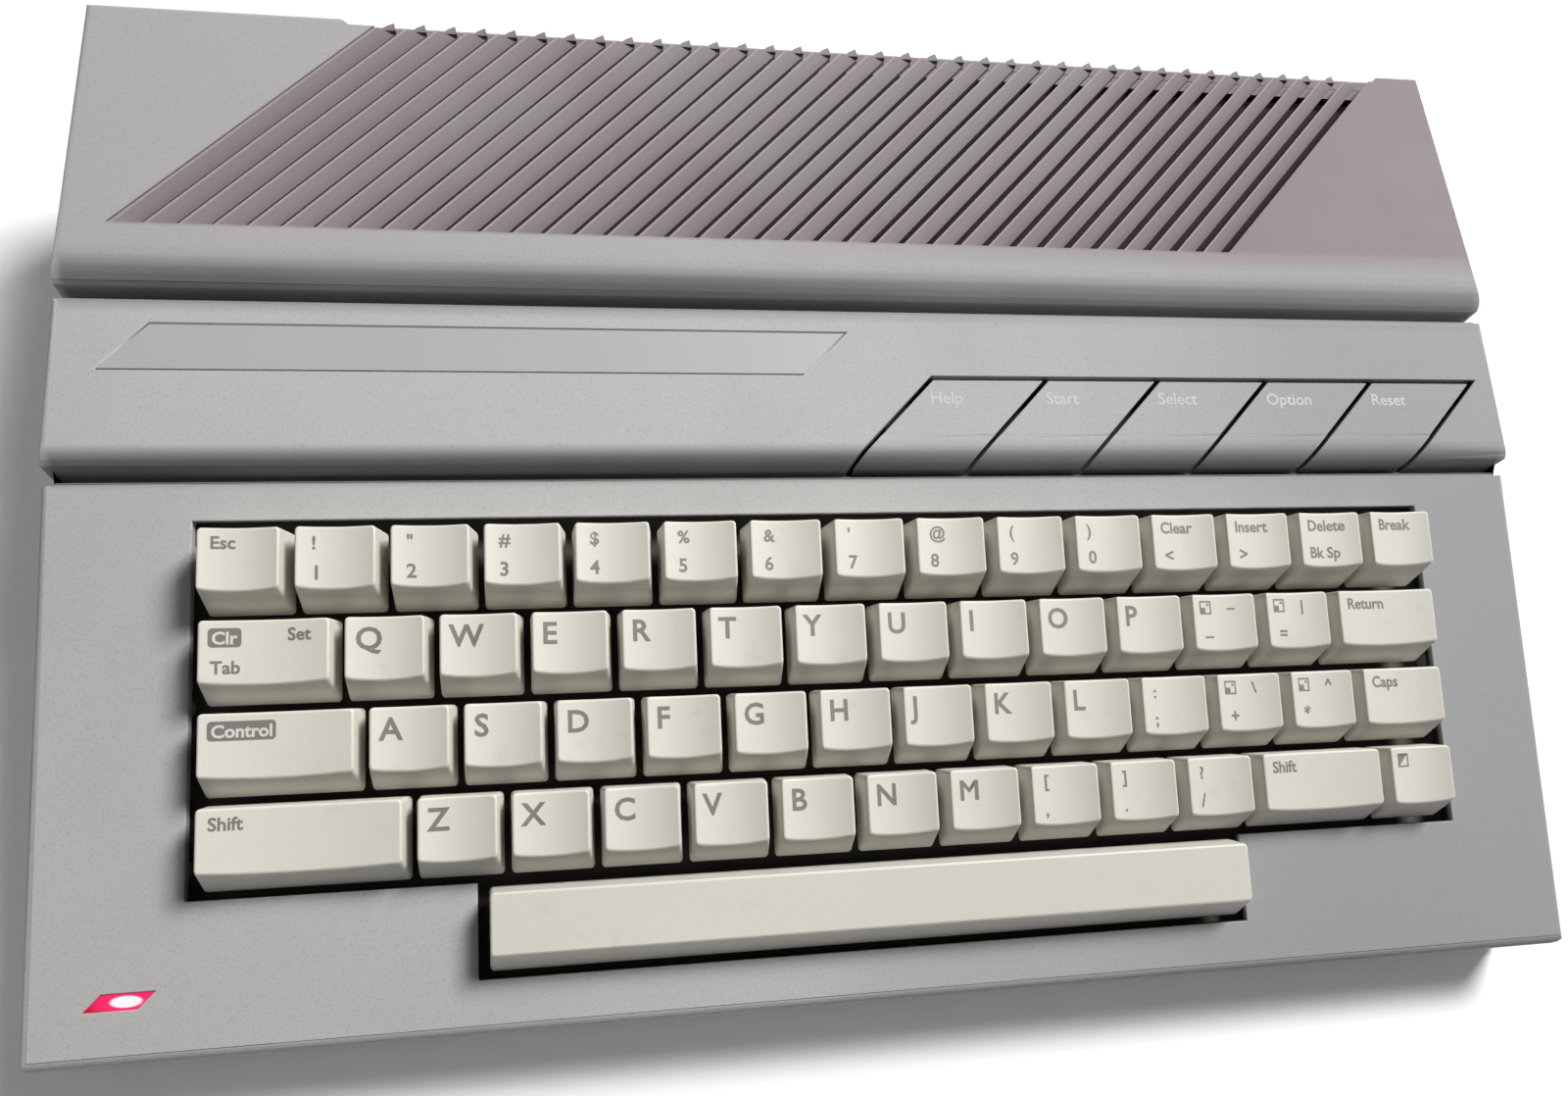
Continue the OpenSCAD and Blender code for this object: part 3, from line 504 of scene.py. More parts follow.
def refine_curves(bm, least):
    """Splits the facets of the rounded noses, from a least length on, so that their shading runs smoothly."""
    facets = [
        e for e in bm.edges
        if e.smooth and e.calc_length() > least and e.calc_face_angle(0.0) > math.radians(5.0) and not in_louvres(e)
    ]
    bevel(bm, facets, 0.35 * MM, 2)
    bm.normal_update()


def keep_in_box(bm, node):
    """Holds the corners that a bevel pushed out within the CAD node's box."""
    low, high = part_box(node)
    for vert in bm.verts:
        vert.co = Vector(min(max(c, a), b) for c, a, b in zip(vert.co, low, high))


def even_light(piece):
    """Weights the normals by area, so flat faces stay flat beside their rounded edges."""
    weighted = piece.modifiers.new("even_light", "WEIGHTED_NORMAL")
    weighted.keep_sharp = True


def round_edges(piece, width):
    """A live bevel with hardened normals, for the small radii of a moulding."""
    small = piece.modifiers.new("small_radii", "BEVEL")
    small.width = width
    small.segments = 3
    small.limit_method = "ANGLE"
    small.angle_limit = math.radians(30.0)
    small.harden_normals = True
    small.use_clamp_overlap = True


def block(bm, low, high, matrix=Matrix.Identity(4)):
    """Adds a box between two corners."""
    low, high = Vector(low), Vector(high)
    place = matrix @ Matrix.Translation((low + high) / 2) @ Matrix.Diagonal((*(high - low), 1.0))
    bmesh.ops.create_cube(bm, size=1.0, matrix=place)


def rod(bm, base, axis, radius, length, segments=24, end_radius=None):
    """Adds a closed round rod from base along axis."""
    axis = Vector(axis).normalized()
    turn = Vector((0, 0, 1)).rotation_difference(axis).to_matrix().to_4x4()
    place = Matrix.Translation(Vector(base) + axis * length / 2) @ turn
    end_radius = radius if end_radius is None else end_radius
    bmesh.ops.create_cone(
        bm, cap_ends=True, segments=segments, radius1=radius, radius2=end_radius, depth=length, matrix=place
    )


def material_for(node, material):
    """Gives a carried-over CAD node its finish."""
    mesh = NODES[node].data
    mesh.materials.clear()
    mesh.materials.append(material)


# ---------------------------------------------------------------- the keyboard's layout


class Key:
    """One key cap: its body, its place in the rows and what is printed on it."""

    def __init__(self, name, body, row, unit, width, legends):
        self.name, self.body, self.row, self.width, self.legends = name, body, row, width, legends
        self.middle = ROWS_LEFT + (unit + width / 2) * KEY_PITCH
        self.cell_v = FIRST_ROW_V + (row - 1) * KEY_PITCH - (SPACE_SET_BACK if row == 0 else 0.0)


def shifted(upper, lower):
    return [("upper", upper), ("lower", lower)]


def named(name, width, *legends):
    """A key that travels by itself: cap name, body, width in key pitches and legends."""
    return name, f"{name}_key", width, list(legends)


def bank(letters, body):
    """Letter keys that travel together."""
    return [(text.lower(), body, 1.0, [("big", text)]) for text in letters]


# Every row from the left: where it starts, in key pitches, and its keys
ROWS = (
    (3.0, [("space_bar", "space_bar", 9.1, [])]),
    (0.0, [
        named("left_shift", 2.25, ("word", "Shift")),
        *bank("ZXCVBNM", "letter_keys_z_to_m"),
        named("comma", 1.0, *shifted("[", ",")),
        named("full_stop", 1.0, *shifted("]", ".")),
        named("slash", 1.0, *shifted("?", "/")),
        named("right_shift", 1.75, ("word", "Shift")),
        named("inverse", 1.0, ("icon", "half")),
    ]),
    (0.0, [
        named("control", 1.75, ("boxed", "Control")),
        *bank("ASDFGHJKL", "letter_keys_a_to_l"),
        named("semicolon", 1.0, *shifted(":", ";")),
        named("plus", 1.0, ("icon", "box"), ("right", "\\"), ("lower", "+")),
        named("asterisk", 1.0, ("icon", "box"), ("right", "^"), ("lower", "*")),
        named("caps", 1.25, ("word", "Caps")),
    ]),
    (0.0, [
        named("tab", 1.5, ("boxed", "Clr"), ("corner", "Set"), ("lower_word", "Tab")),
        *bank("QWERTYUIOP", "letter_keys_q_to_p"),
        named("minus", 1.0, ("icon", "box"), ("right", "–"), ("lower", "–")),
        named("equals", 1.0, ("icon", "box"), ("right", "|"), ("lower", "=")),
        named("return", 1.5, ("word", "Return")),
    ]),
    (0.0, [
        named("escape", 1.0, ("word", "Esc")),
        *[(f"digit_{n}", f"key_{n}", 1.0, shifted(sign, n)) for n, sign in zip("1234567890", "!\"#$%&'@()")],
        named("clear", 1.0, ("word", "Clear"), ("lower", "<")),
        named("insert", 1.0, ("word", "Insert"), ("lower", ">")),
        named("delete", 1.0, ("word", "Delete"), ("lower_word", "Bk Sp")),
        named("break", 1.0, ("word", "Break")),
    ]),
)


def all_keys():
    """Every key, row by row."""
    for row, (unit, keys) in enumerate(ROWS):
        for name, body, width, legends in keys:
            yield Key(f"{name}_cap", body, row, unit, width, legends)
            unit += width


# Sizes of a key cap
FOOT_GAP = 1.35 * MM
SIDE_TAPER = 0.85 * MM
SKIRT = -1.0 * MM
TOP_BACK = 0.4 * MM
TOP_DEPTH = 12.9 * MM
STEM = 5.0 * MM
STEM_END = -10.5 * MM
TOP_FACETS = 10


class CapForm:
    """The form of one key's cap in the deck's frame."""

    def __init__(self, key, hollow):
        self.place = DECK @ Matrix.Translation((key.middle, 0, 0))
        self.half_foot = key.width * KEY_PITCH / 2 - FOOT_GAP / 2
        self.half_top = self.half_foot - SIDE_TAPER
        self.v0 = key.cell_v + FOOT_GAP / 2
        self.v1 = key.cell_v + KEY_PITCH - FOOT_GAP / 2
        self.top_v1 = self.v1 - TOP_BACK
        self.top_v0 = self.top_v1 - TOP_DEPTH
        self.top = ROW_TOP[key.row]
        self.hollow = 0.0 if key.row == 0 else hollow
        self.front_lean = (self.top_v0 - self.v0) / (self.top - SKIRT)

    def height(self, x):
        """Height of the key top at an offset x from its middle."""
        t = min(1.0, abs(x) / self.half_top)
        return self.top - self.hollow * (1.0 - t * t)


def cap_mesh(form, finish):
    """A cap: a tapered block with a hollowed top, rounded corners and its stem below."""
    bm = bmesh.new()
    middle = (form.v0 + form.v1) / 2
    block(bm, (-form.half_foot, form.v0, SKIRT), (form.half_foot, form.v1, form.top))
    for vert in [v for v in bm.verts if v.co.z > form.top / 2]:
        vert.co.x = math.copysign(form.half_top, vert.co.x)
        vert.co.y = form.top_v1 if vert.co.y > middle else form.top_v0
    upright = [e for e in bm.edges if abs(e.verts[0].co.z - e.verts[1].co.z) > form.top / 2]
    bevel(bm, upright, finish.corner, 4)
    for i in range(1, TOP_FACETS if form.hollow > 0.0 else 1):
        at = (form.half_top * (2.0 * i / TOP_FACETS - 1.0), 0, 0)
        bmesh.ops.bisect_plane(bm, geom=everything(bm), plane_co=at, plane_no=(1, 0, 0))
    for vert in bm.verts:
        if vert.co.z > form.top - 0.01 * MM:
            vert.co.z = form.height(vert.co.x)
            if vert.co.y < middle:
                vert.co.y -= (form.top - vert.co.z) * form.front_lean
    block(bm, (-STEM / 2, middle - STEM / 2, STEM_END), (STEM / 2, middle + STEM / 2, SKIRT + 0.5 * MM))
    bmesh.ops.transform(bm, matrix=form.place, verts=bm.verts)
    return bm


# Where each kind of legend stands on a key top: offset from its left back corner (from its right one
# where it is below 0), size and weight
LEGEND = {
    "big": (2.0 * MM, 6.8 * MM, 6.6 * MM, 0.15 * MM),
    "upper": (3.1 * MM, 4.8 * MM, 3.9 * MM, 0.10 * MM),
    "lower": (3.1 * MM, 11.2 * MM, 4.2 * MM, 0.10 * MM),
    "word": (2.4 * MM, 4.4 * MM, 3.7 * MM, 0.10 * MM),
    "lower_word": (2.4 * MM, 11.0 * MM, 3.7 * MM, 0.10 * MM),
    "boxed": (2.6 * MM, 4.9 * MM, 3.6 * MM, 0.10 * MM),
    "corner": (-8.4 * MM, 4.4 * MM, 3.7 * MM, 0.10 * MM),
    "right": (9.4 * MM, 4.4 * MM, 3.6 * MM, 0.08 * MM),
}

# The box signs: their side, place and line
ICON = 3.2 * MM
ICON_IN = 2.0 * MM
ICON_DOWN = 4.7 * MM
ICON_LINE = 0.38 * MM

# The dark plates under the pale words: how far they reach beyond them, and their corner
PLATE_MARGIN = 0.7 * MM
PLATE_CORNER = 0.8 * MM

# The width of the strips that let print follow the hollow
PRINT_STEP = 1.0 * MM

# Letters whose outline folds over itself when it is made heavier
NARROW_ANGLED = ("M",)


def text_mesh(words, size, weight):
    """The outline of some words as a flat mesh from the baseline's left end."""
    curve = bpy.data.curves.new("words", "FONT")
    curve.body = words
    curve.size = size
    curve.offset = 0.0 if words in NARROW_ANGLED else weight
    curve.resolution_u = 3
    holder = bpy.data.objects.new("words", curve)
    mesh = bpy.data.meshes.new_from_object(holder)
    bm = bmesh.new()
    bm.from_mesh(mesh)
    if words in NARROW_ANGLED:
        whole = everything(bm)
        for shift in (-weight, weight):
            twin = bmesh.ops.duplicate(bm, geom=whole)["geom"]
            bmesh.ops.translate(bm, vec=(shift, 0, 0), verts=[v for v in twin if isinstance(v, bmesh.types.BMVert)])
    bpy.data.objects.remove(holder)
    bpy.data.curves.remove(curve)
    bpy.data.meshes.remove(mesh)
    return bm


def append(target, source, matrix):
    """Adds one bmesh to another."""
    bmesh.ops.transform(source, matrix=matrix, verts=source.verts)
    mesh = bpy.data.meshes.new("part")
    source.to_mesh(mesh)
    source.free()
    target.from_mesh(mesh)
    bpy.data.meshes.remove(mesh)


def plate(bm, left, low, right, high, corner=0.0):
    """A flat filled plate, with rounded corners if asked."""
    middle = Matrix.Translation(((left + right) / 2, (low + high) / 2, 0))
    place = middle @ Matrix.Diagonal((right - left, high - low, 1, 1))
    corners = bmesh.ops.create_grid(bm, x_segments=1, y_segments=1, size=0.5, matrix=place)["verts"]
    if corner > 0.0:
        bevel(bm, corners, corner, 3, "VERTICES")


def outline_box(bm, left, low, right, high, line):
    """A thin square outline, flat on the key top."""
    plate(bm, left, low, right, low + line)
    plate(bm, left, high - line, right, high)
    plate(bm, left, low + line, left + line, high - line)
    plate(bm, right - line, low + line, right, high - line)


def drape(bm, form, lift):
    """Lays flat print on the hollowed key top, cut finely enough to follow it."""
    if form.hollow > 0.0:
        for i in range(1, int(2 * form.half_top / PRINT_STEP)):
            at = (i * PRINT_STEP - form.half_top, 0, 0)
            bmesh.ops.bisect_plane(bm, geom=everything(bm), plane_co=at, plane_no=(1, 0, 0))
    for vert in bm.verts:
        vert.co.z = form.height(vert.co.x) + lift
    bmesh.ops.transform(bm, matrix=form.place, verts=bm.verts)


def icon(bm, x, y, kind):
    """A box sign: two small squares in a square outline, or a half-filled square."""
    outline_box(bm, x, y, x + ICON, y + ICON, ICON_LINE)
    if kind == "half":
        half = bmesh.new()
        plate(half, x, y, x + ICON, y + ICON)
        bmesh.ops.bisect_plane(
            half, geom=everything(half), plane_co=(x, y, 0), plane_no=(1, -1, 0), clear_outer=True
        )
        append(bm, half, Matrix.Identity(4))
    else:
        for start, end in ((0.12, 0.5), (0.62, 0.8)):
            plate(bm, x + ICON * start, y + ICON * start, x + ICON * end, y + ICON * end)


def legend_mesh(key, form):
    """Everything printed on one key, in two layers: dark print, and the light words on dark plates."""
    dark, light = bmesh.new(), bmesh.new()
    left, back = -form.half_top, form.top_v1
    for kind, words in key.legends:
        if kind == "icon":
            icon(dark, left + ICON_IN, back - ICON_DOWN, words)
            continue
        dx, dy, size, weight = LEGEND[kind]
        x, y = left + (dx if dx > 0 else 2 * form.half_top + dx), back - dy
        text = text_mesh(words, size, weight)
        if kind == "boxed":
            right = x + max(v.co.x for v in text.verts) + PLATE_MARGIN
            top = y + size * 0.72 + PLATE_MARGIN
            plate(dark, x - PLATE_MARGIN, y - PLATE_MARGIN, right, top, PLATE_CORNER)
        append(light if kind == "boxed" else dark, text, Matrix.Translation((x, y, 0)))
    return dark, light


# ---------------------------------------------------------------- operators, one for each group of pieces


def is_outer(edge, fins_y, outward):
    """Whether an edge of a shell is on its outside, away from the fins and the slats."""
    on_fins = any(v.co.y > fins_y and v.co.z > ROOF_LEAST_Z for v in edge.verts)
    faces_out = all(f.normal.z * outward > -0.5 for f in edge.link_faces)
    return faces_out and not on_fins and not in_louvres(edge)


class COMPUTER_OT_case(bpy.types.Operator):
    """Dresses the two shells, the badge and the lamp lens"""

    bl_idname = "computer.case"
    bl_label = "Case"

    def execute(self, context):
        finish = context.scene.case_finish
        plastic = case_plastic(finish)
        fins_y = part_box("upper_case")[1].y - FIN_REACH
        for node, outward in (("upper_case", 1.0), ("lower_case", -1.0)):
            bm = moulding(node)
            refine_curves(bm, 200.0 * MM)
            soften(bm, lambda edge: is_outer(edge, fins_y, outward), finish.edge_round)
            crest_facets(bm, 0.22 * MM, fins_y)
            keep_in_box(bm, node)
            shell = settle(f"{node}_shell", bm, plastic, "case")
            even_light(shell)
            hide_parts(node)
        material_for("badge_plate", badge_foil())
        material_for("led_lens", lit_lens())
        material_for("power_led", lit_lens())
        return {"FINISHED"}


def badge_foil():
    """Bare satin foil, a shade darker than the case, brushed along X."""
    paint = Paint("badge_foil")
    lines = paint.rolled(0.03, 3000.0)
    cloud = paint.noise(35 * MM, 2.0)
    base = paint.mix(lines * 0.3, (0.41, 0.405, 0.40), (0.37, 0.365, 0.365))
    paint.feed(Base_Color=paint.mix(cloud * 0.25, base, (0.36, 0.345, 0.35)), Roughness=0.55 + (lines - 0.5) * 0.1)
    return paint.material


def is_button_top(edge):
    """Whether an edge bounds the top of a console button."""
    return all(v.co.z > 46.0 * MM for v in edge.verts) and edge.calc_length() > 4.0 * MM


class COMPUTER_OT_console(bpy.types.Operator):
    """Dresses the five console buttons and prints their pale words"""

    bl_idname = "computer.console"
    bl_label = "Console buttons"

    def execute(self, context):
        finish = context.scene.case_finish
        plastic = case_plastic(finish)
        ink = plain_moulding("pale_print", (0.46, 0.445, 0.445), 0.8)
        up_band = CONSOLE_DEPTH - CONSOLE_PRINT_DOWN
        z = BAND_FOOT_Z + up_band * math.tan(BAND_SLOPE) + PRINT_LIFT
        for i, word in enumerate(CONSOLE_WORDS):
            body = f"{word.lower()}_button"
            bm = moulding(body)
            refine_curves(bm, 15.0 * MM)
            soften(bm, is_button_top, finish.edge_round)
            bm.normal_update()
            part_ends(bm, 1.2 * MM)
            keep_in_box(bm, body)
            cap = settle(f"{word.lower()}_cap", bm, plastic, body)
            even_light(cap)
            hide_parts(body)
            text = text_mesh(word, CONSOLE_PRINT, 0.07 * MM)
            x = i * CONSOLE_PITCH + CONSOLE_SLANT * up_band / CONSOLE_DEPTH + CONSOLE_PRINT_IN
            place = Matrix.Translation((x, BAND_FOOT_Y + up_band, z)) @ Matrix.Rotation(BAND_SLOPE, 4, "X")
            bmesh.ops.transform(text, matrix=place, verts=text.verts)
            settle(f"{word.lower()}_print", text, ink, body, smooth=False, flat_print=True)
        return {"FINISHED"}


class COMPUTER_OT_keys(bpy.types.Operator):
    """Models the 57 key caps and their print"""

    bl_idname = "computer.keys"
    bl_label = "Keys"

    def execute(self, context):
        finish = context.scene.key_finish
        cap = tuple(finish.cap)
        plastic = key_plastic(cap)
        ink = plain_moulding("key_print", tuple(finish.print_colour), 0.45)
        pale = plain_moulding("key_print_light", shade(cap, 0.9), 0.45)
        for key in all_keys():
            form = CapForm(key, finish.hollow)
            piece = settle(key.name, cap_mesh(form, finish), plastic, key.body)
            round_edges(piece, finish.rim)
            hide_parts(key.body)
            dark, light = legend_mesh(key, form)
            layers = ((dark, ink, PRINT_LIFT, "print"), (light, pale, WORDS_LIFT, "words"))
            for layer, material, lift, suffix in layers:
                if layer.verts:
                    drape(layer, form, lift)
                    name = key.name.replace("_cap", f"_{suffix}")
                    settle(name, layer, material, key.body, smooth=False, flat_print=True)
                else:
                    layer.free()
        return {"FINISHED"}


# The sockets' places along the back, the height of their middles, and the two ports in the side
PORT_Z = 21.0 * MM
BACK_FACE = 116.4 * MM
DIN_X = (-124.0 * MM, -56.0 * MM)
DIN_CONTACTS = 4.0 * MM
JACK_X = -82.0 * MM
SERIAL_X = -8.0 * MM
SERIAL_PITCH = 4.2 * MM
SIDE_FACE = 173.9 * MM
SIDE_PORTS_Y = (38.0 * MM, 76.0 * MM)
SIDE_PORT_Z = 16.5 * MM
SIDE_PITCH = 2.76 * MM
CARTRIDGE_LEAVES = 24
CARTRIDGE_PITCH = 2.54 * MM
CARTRIDGE_MOUTH = 4.0 * MM

# The case screws: less than the distance between two along a side, and half the arms of their crosses
SCREW_SPACING = 30.0 * MM
CROSS_ARM = 1.9 * MM
CROSS_WIDTH = 0.35 * MM


def cartridge_bezel(material):
    """A black frame that closes the case's opening round the cartridge connector's mouth."""
    low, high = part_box("cartridge_connector")
    back = high.y + 0.1 * MM
    left, right = low.x - 3.0 * MM, high.x + 3.0 * MM
    bottom, top = PORT_Z - 9.0 * MM, PORT_Z + 9.0 * MM
    sill, lintel = PORT_Z - CARTRIDGE_MOUTH, PORT_Z + CARTRIDGE_MOUTH
    bm = bmesh.new()
    for x0, z0, x1, z1 in (
        (left, bottom, right, sill),
        (left, lintel, right, top),
        (left, sill, low.x + 4.0 * MM, lintel),
        (high.x - 4.0 * MM, sill, right, lintel),
    ):
        block(bm, (x0, back, z0), (x1, back + 2.0 * MM, z1))
    settle("cartridge_bezel", bm, material, "case", smooth=False)


def dust_screen():
    """A dark sheet just under the louvres, parallel to the roof, that stands in for the shade inside the vents, with
    a faint painted glow.
    """
    bm = bmesh.new()
    place = Matrix.Translation((0.0, LOUVRES_Y, SHADE_SHEET_Z)) @ Matrix.Rotation(ROOF_SLOPE, 4, "X")
    block(bm, (-SHADE_SHEET_HALF_WIDTH, SHADE_SHEET_FRONT, 0.0), (SHADE_SHEET_HALF_WIDTH, SHADE_SHEET_BACK, SHADE_SHEET_THICKNESS), place)
    # Painted shade and a faint painted glow: the sheet's dark colour and its emission stand in for the shade inside
    # the vents
    sheet_paint = plain_moulding(
        "dark_felt", (0.022, 0.015, 0.018), 0.85,
        Specular_IOR_Level=0.1, Emission_Color=(0.012, 0.008, 0.010, 1.0), Emission_Strength=1.0,
    )
    settle("dust_screen", bm, sheet_paint, "case", smooth=False)


def din_inserts():
    """The black discs of the two round sockets and the brass contacts in them."""
    discs, contacts = bmesh.new(), bmesh.new()
    face = BACK_FACE - 1.6 * MM
    for x in DIN_X:
        rod(discs, (x, face - 6.0 * MM, PORT_Z), (0, 1, 0), 6.3 * MM, 6.0 * MM, 48)
        for i in range(5):
            turn = math.radians(45.0 * i)
            place = (x + DIN_CONTACTS * math.cos(turn), face - 1.0 * MM, PORT_Z + DIN_CONTACTS * math.sin(turn))
            rod(contacts, place, (0, 1, 0), 0.95 * MM, 1.2 * MM, 16)
            rod(discs, place, (0, 1, 0), 0.55 * MM, 1.23 * MM, 16)
    return discs, contacts


def centred(count, pitch):
    """Evenly spaced places about 0."""
    return [(i - (count - 1) / 2) * pitch for i in range(count)]


def plug_pins():
    """The pins of the serial socket and of the two controller ports, and the leaves of the cartridge connector."""
    bm = bmesh.new()
    for row, count in ((-1.0, 6), (1.0, 7)):
        for dx in centred(count, SERIAL_PITCH):
            place = (SERIAL_X + dx, BACK_FACE - 8.5 * MM, PORT_Z + row * 1.6 * MM)
            rod(bm, place, (0, 1, 0), 0.6 * MM, 6.5 * MM, 12, 0.45 * MM)
    for y in SIDE_PORTS_Y:
        for row, count in ((-1.0, 4), (1.0, 5)):
            for dy in centred(count, SIDE_PITCH):
                place = (SIDE_FACE - 6.5 * MM, y + dy, SIDE_PORT_Z + row * 1.42 * MM)
                rod(bm, place, (1, 0, 0), 0.5 * MM, 5.2 * MM, 12, 0.4 * MM)
    low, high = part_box("cartridge_connector")
    for dx in centred(CARTRIDGE_LEAVES, CARTRIDGE_PITCH):
        x = (low.x + high.x) / 2 + dx
        for side in (-1.0, 1.0):
            z = PORT_Z + side * 2.2 * MM
            low_corner = (x - 0.7 * MM, high.y - 8.0 * MM, z - 0.35 * MM)
            block(bm, low_corner, (x + 0.7 * MM, high.y - 1.0 * MM, z + 0.35 * MM))
    return bm


def screw_crosses():
    """The cross recesses of the case screws, as dark inlays just under their heads that paint the shade in the
    recesses.
    """
    bm = bmesh.new()
    spots = [v.co for v in NODES["case_screws"].data.vertices]
    bottom = min(co.z for co in spots)
    heads = {}
    for co in spots:
        if co.z < bottom + 0.01 * MM:
            heads.setdefault((co.x > 0.0, round(co.y / SCREW_SPACING)), []).append(co)
    for _, rim in sorted(heads.items()):
        x = (min(co.x for co in rim) + max(co.x for co in rim)) / 2
        y = (min(co.y for co in rim) + max(co.y for co in rim)) / 2
        for a, b in ((CROSS_ARM, CROSS_WIDTH), (CROSS_WIDTH, CROSS_ARM)):
            block(bm, (x - a, y - b, bottom - 0.03 * MM), (x + a, y + b, bottom + 0.3 * MM))
    return bm


class COMPUTER_OT_contacts(bpy.types.Operator):
    """Adds the contacts of the sockets and the painted shade in the recesses of the screws"""

    bl_idname = "computer.contacts"
    bl_label = "Contacts"

    def execute(self, context):
        black = plain_moulding("socket_black", (0.015, 0.015, 0.016), 0.5)
        white = plain_moulding("jack_insulator", (0.5, 0.49, 0.46), 0.5)
        brass = sheet_metal("contact_brass", (0.78, 0.62, 0.33), 0.3)
        discs, contacts = din_inserts()
        settle("round_socket_discs", discs, black, "case", smooth=False)
        settle("round_socket_contacts", contacts, brass, "case", smooth=False)
        settle("socket_pins", plug_pins(), brass, "case", smooth=False)
        settle("screw_crosses", screw_crosses(), black, "case", smooth=False)
        ring, core = bmesh.new(), bmesh.new()
        rod(ring, (JACK_X, BACK_FACE - 8.0 * MM, PORT_Z), (0, 1, 0), 2.8 * MM, 6.6 * MM, 32)
        rod(core, (JACK_X, BACK_FACE - 8.0 * MM, PORT_Z), (0, 1, 0), 1.5 * MM, 6.65 * MM, 24)
        settle("jack_ring", ring, white, "case", smooth=False)
        settle("jack_core", core, black, "case", smooth=False)
        return {"FINISHED"}


# The rubber domes under the stems: foot radius, end radius and height of each stretch
STEM_GAP = 0.3 * MM
DOME = ((4.5 * MM, 4.2 * MM, 1.0 * MM), (4.2 * MM, 2.6 * MM, 1.5 * MM), (2.6 * MM, 2.6 * MM, 1.5 * MM))
DOME_HEIGHT = sum(height for _, _, height in DOME)
SHEET_TOP = STEM_END - STEM_GAP - DOME_HEIGHT

# Where the space bar's three stems stand, in shares of its width
SPACE_STEMS = (-0.4, 0.0, 0.4)


class COMPUTER_OT_domes(bpy.types.Operator):
    """Parts the dome sheet into its base and domes under the stems of the keys and the buttons"""

    bl_idname = "computer.domes"
    bl_label = "Domes"

    def execute(self, context):
        rubber = plain_moulding("dome_rubber", (0.09, 0.09, 0.095), 0.7, 0.03 * MM)
        base = moulding("dome_sheet")
        normal = DECK.to_3x3() @ Vector((0, 0, 1))
        on_sheet = DECK @ Vector((0, 0, SHEET_TOP))
        bmesh.ops.bisect_plane(base, geom=everything(base), plane_co=on_sheet, plane_no=normal, clear_outer=True)
        bmesh.ops.holes_fill(base, edges=[e for e in base.edges if e.is_boundary])
        sheet = settle("dome_base", base, rubber, "case", smooth=False)
        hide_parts("dome_sheet")
        places = {}
        for key in all_keys():
            for side in SPACE_STEMS if key.row == 0 else (0.0,):
                spot = (key.middle + side * key.width * KEY_PITCH, key.cell_v + KEY_PITCH / 2)
                places.setdefault(key.body, []).append(spot)
        console_v = (BAND_FOOT_Y + CONSOLE_DEPTH / 2 - DECK_FRONT_Y) / math.cos(DECK_SLOPE)
        for i, word in enumerate(CONSOLE_WORDS):
            places[f"{word.lower()}_button"] = [((i + 0.5) * CONSOLE_PITCH + CONSOLE_SLANT / 2, console_v)]
        for body, spots in places.items():
            bm = bmesh.new()
            for x, v in spots:
                foot = SHEET_TOP
                for radius, end_radius, height in DOME:
                    rod(bm, (x, v, foot), (0, 0, 1), radius, height, 32, end_radius)
                    foot += height
            bmesh.ops.transform(bm, matrix=DECK, verts=bm.verts)
            domes = settle(f"{body}_domes", bm, rubber, "case", smooth=False)
            tuple(DECK @ Vector((*spots[0], SHEET_TOP)))
            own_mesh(domes)
        return {"FINISHED"}


class COMPUTER_OT_insides(bpy.types.Operator):
    """Gives the inner parts, the sockets and the feet their finishes"""

    bl_idname = "computer.insides"
    bl_label = "Insides and sockets"

    def execute(self, context):
        black = plain_moulding("black_plastic", (0.018, 0.018, 0.02), 0.5)
        rubber = plain_moulding("dark_rubber", (0.02, 0.02, 0.02), 0.8, 0.05 * MM)
        film = plain_moulding("membrane_film", (0.5, 0.47, 0.34), 0.2)
        steel = sheet_metal("tinned_steel", (0.62, 0.62, 0.63))
        laminate = plain_moulding("board_laminate", (0.02, 0.13, 0.05), 0.35)
        frame_black = plain_moulding("frame_black", (0.05, 0.048, 0.041), 0.7)
        for material, nodes in (
            (frame_black, "keyboard_frame"),
            (black, "board_chips cartridge_connector rear_sockets controller_ports"),
            (black, "switch_bodies power_switch channel_switch"),
            (rubber, "rubber_feet"),
            (film, "keyboard_membrane"),
            (steel, "keyboard_backplate top_shield rf_modulator case_screws"),
            (laminate, "main_board"),
        ):
            for node in nodes.split():
                material_for(node, material)
        cartridge_bezel(black)
        dust_screen()
        return {"FINISHED"}


# The camera's place in metres, its turn in degrees, and the shift of its frame
CAMERA_PLACE = (-0.06013, -0.11463, 0.28098)
CAMERA_TURN = (19.981, -8.395, -4.586)
CAMERA_SHIFT = (0.0013, 0.0350)

# Each lamp's name, place, target, size, power and colour
LAMPS = (
    ("window", (1.14, 0.9, 1.71), (-0.03, 0.0, 0.03), 0.7, 76.0, (1.0, 0.99, 0.97)),
    ("fill", (-0.9, -0.2, 1.3), (0.0, 0.0, 0.03), 1.4, 1.5, (0.97, 0.98, 1.0)),
)

# Where the floor's glow starts and is full, in metres from the middle, and how strong it is before
GLOW_START, GLOW_FULL = 0.28, 0.62
NEAR_GLOW = 0.1


def softbox(name, place, target, size, power, colour):
    """A square area lamp at place that faces target."""
    lamp = bpy.data.lights.new(name, "AREA")
    lamp.size = size
    lamp.energy = power
    lamp.color = colour
    holder = bpy.data.objects.new(name, lamp)
    bpy.context.scene.collection.objects.link(holder)
    holder.location = place
    holder.rotation_euler = (Vector(target) - Vector(place)).to_track_quat("-Z", "Y").to_euler()


def bare_tree(owner):
    """The empty node tree of a material or a world."""
    owner.use_nodes = True
    owner.node_tree.nodes.clear()
    return owner.node_tree


